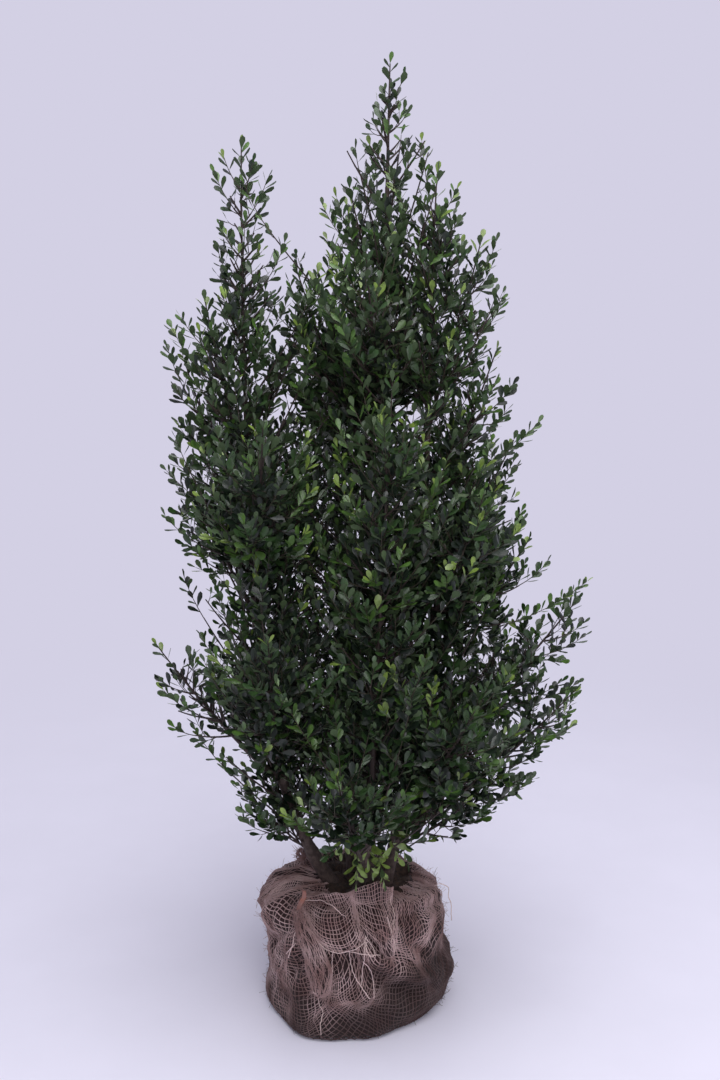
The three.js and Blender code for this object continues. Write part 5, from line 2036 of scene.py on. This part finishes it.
def fibre_lines(random):
    """Short fibres that stand off the cloth and the left tail."""
    turn = random.uniform(0, 2 * math.pi, FIBRES)
    run = random.uniform(*FIBRE_RUNS, FIBRES)
    feet = on_ball(turn, run, drape(turn, run))
    ways = unit(on_ball(turn, run, drape(turn, run) + PROBE) - feet)
    rope = Rope(TAILS[0], TAIL_FIBRES)
    around = random.uniform(0, math.pi, TAIL_FIBRES)
    feet = np.concatenate([feet, rope.around(around, 1.0)])
    ways = np.concatenate([ways, unit(rope.around(around, 1.3) - rope.middle)])
    for foot, out in zip(feet, ways):
        way = unit(FIBRE_OUT * out + unit(random.normal(size=3)))
        bent = unit(way + random.normal(0, FIBRE_BEND, 3))
        line = bent_line(foot, way, bent, random.uniform(*END_REACHES), 2)
        yield kept_above(line, LOWEST_FIBRE), FIBRE_RADIUS


SLIVER_TURN = (225, 1.4, 3)  # degrees: where its top is, its half width, and how it slants
SLIVER_HEIGHT = (0.212, 0.188)
SLIVER_STAND = (0.01, 0.002)  # of its middle, and how much its sides curl out
SLIVER_THICK = 0.0012


def sliver_side(sink):
    """One side of a curled sliver of bark that lies on the cloth's left shoulder."""
    u, v = np.meshgrid(np.linspace(-1, 1, 4), shares(6))
    top, half, slant = SLIVER_TURN
    middle, curl = SLIVER_STAND
    return cloth_point(top + half * u + slant * v, mix(*SLIVER_HEIGHT, v), middle + curl * np.abs(u) - sink)


class HOLLY_OT_threads(bpy.types.Operator):
    """Loose threads, a knotted tuft and the fuzz of fibres on the cloth"""

    bl_idname = "holly.threads"
    bl_label = "Threads and fuzz"

    def execute(self, context):
        sizes = context.scene.holly_hessian
        random = np.random.default_rng(SEED + 4)
        colours = sizes.thread[:], sizes.tan[:], sizes.earth[:]
        pale = jute_material("loose thread", *colours, rough=0.85, soil_share=0.1)
        lines = []
        for path in THREADS:
            place = curved(path)
            wander = random.normal(0, THREAD_WANDER, (len(place), 3))
            lines.append((cloth_point(*place.T) + wander, THREAD_RADIUS * sizes.yarn))
        yarns("loose_threads", lines, pale, THREAD_SIDES)
        yarns("knotted_tuft", knot_lines(random), jute(), THREAD_SIDES)
        yarns("cloth_fuzz", [*fibre_lines(random)], jute(), YARN_SIDES)
        chip = shell("bark_sliver", sliver_side(0), sliver_side(SLIVER_THICK))
        rusty = wood_material("rusty sliver", sizes.sliver[:], sizes.brown[:], rough=0.7, stretch=0.2)
        chip.data.materials.append(rusty)
        finished(chip, "bark")
        return {"FINISHED"}


# ---- stage

SENSOR = 36  # millimetres
AIM = (0, 0, 0.7)  # the lights look at the middle of the plant
FLOOR_RADIUS = 4.0
FLOOR_SIDES = 96
FLOOR_FADE = (0.5, 2.2)  # between these distances the floor turns into the backdrop

# An area light: where it stands, how wide it is and its colour. The settings hold its watts.
Lamp = namedtuple("Lamp", "place side rgb")
LAMPS = {
    "overhead": Lamp((0.3, -0.8, 3.1), 3.0, (1, 0.99, 1)),
    "front": Lamp((0.7, -3.4, 1.9), 2.2, (1, 0.98, 1)),
    "back": Lamp((-0.5, 3.0, 1.8), 2.2, (1, 1, 1)),
}


def area_light(name, lamp, watts):
    light = bpy.data.lights.new(name, "AREA")
    light.shape = "DISK"
    light.size = lamp.side
    light.energy = watts
    light.color = lamp.rgb
    made = bpy.data.objects.new(name, light)
    made.location = lamp.place
    made.rotation_euler = (Vector(AIM) - Vector(lamp.place)).to_track_quat("-Z", "Y").to_euler()
    bpy.context.scene.collection.objects.link(made)


def place_camera(scene, studio):
    data = bpy.data.cameras.new("camera")
    data.lens = studio.lens
    data.sensor_width = SENSOR
    camera = bpy.data.objects.new("camera", data)
    camera.location = (0, -studio.camera_distance, studio.camera_height)
    camera.rotation_euler = (math.radians(90 - studio.camera_tilt), 0, 0)
    scene.collection.objects.link(camera)
    scene.camera = camera


def backdrop(studio):
    """A plain world that the camera sees at full strength, and that lights the plant more faintly."""
    world = bpy.data.worlds.new("backdrop")
    world.use_nodes = True
    tree = world.node_tree
    background = tree.nodes["Background"]
    background.inputs["Color"].default_value = opaque(studio.backdrop)
    seen = node(tree, "ShaderNodeLightPath").outputs["Is Camera Ray"]
    strength = ranged(tree, seen, end=(studio.ambient, 1.0), curve="LINEAR")
    tree.links.new(strength, background.inputs["Strength"])
    return world


def floor_material(studio):
    """A pale floor with faint patches, which fades into the backdrop far from the plant."""
    material, tree, shader = new_material("floor", 0.9, Emission_Strength=1.0, Specular_IOR_Level=0.0)
    pale, _ = mottled(tree, opaque(studio.floor), opaque(studio.floor, 0.97), 6.0, 0.6)
    away = node(tree, "ShaderNodeVectorMath", {0: own_place(tree)}, operation="LENGTH")
    fade = ranged(tree, away.outputs["Value"], FLOOR_FADE)
    dark = (0.0, 0.0, 0.0, 1.0)
    tree.links.new(blended(tree, fade, pale, dark), shader.inputs["Base Color"])
    tree.links.new(blended(tree, fade, dark, opaque(studio.backdrop)), shader.inputs["Emission Color"])
    return material


class HOLLY_OT_stage(bpy.types.Operator):
    """Camera, soft lights, pale backdrop and pale floor"""

    bl_idname = "holly.stage"
    bl_label = "Stage"

    def execute(self, context):
        scene = context.scene
        studio = scene.holly_studio
        place_camera(scene, studio)
        for name, lamp in LAMPS.items():
            area_light(name + " light", lamp, getattr(studio, name))
        scene.world = backdrop(studio)
        scene.view_settings.view_transform = "Standard"
        turns = np.linspace(0, 2 * math.pi, FLOOR_SIDES, endpoint=False)
        rim = np.stack([FLOOR_RADIUS * np.cos(turns), FLOOR_RADIUS * np.sin(turns), 0 * turns], axis=1)
        floor = mesh_object("floor", rim, faces=[tuple(range(len(rim)))])
        floor.data.materials.append(floor_material(studio))
        return {"FINISHED"}


# ---- panel, registration and the run

STEPS = (
    HOLLY_OT_stage,
    HOLLY_OT_stems,
    HOLLY_OT_boughs,
    HOLLY_OT_twigs,
    HOLLY_OT_leaves,
    HOLLY_OT_ball,
    HOLLY_OT_weave,
    HOLLY_OT_bib,
    HOLLY_OT_tails,
    HOLLY_OT_threads,
)


class HOLLY_PT_panel(bpy.types.Panel):
    """Sizes, colours and steps of the holly"""

    bl_idname = "HOLLY_PT_panel"
    bl_label = "Holly"
    bl_space_type = "VIEW_3D"
    bl_region_type = "UI"
    bl_category = "Holly"

    def draw(self, context):
        for name, kind in SETTINGS.items():
            box = self.layout.box()
            box.label(text=kind.__doc__)
            for key in kind.__annotations__:
                box.prop(getattr(context.scene, name), key)
        for step in STEPS:
            self.layout.operator(step.bl_idname)


CLASSES = (*SETTINGS.values(), *STEPS, HOLLY_PT_panel)


def register():
    for item in CLASSES:
        bpy.utils.register_class(item)
    for name, kind in SETTINGS.items():
        setattr(bpy.types.Scene, name, PointerProperty(type=kind))


def unregister():
    for name in SETTINGS:
        delattr(bpy.types.Scene, name)
    for item in reversed(CLASSES):
        bpy.utils.unregister_class(item)


def main():
    register()
    for step in STEPS:
        family, name = step.bl_idname.split(".")
        getattr(getattr(bpy.ops, family), name)()


if __name__ == "__main__":
    main()
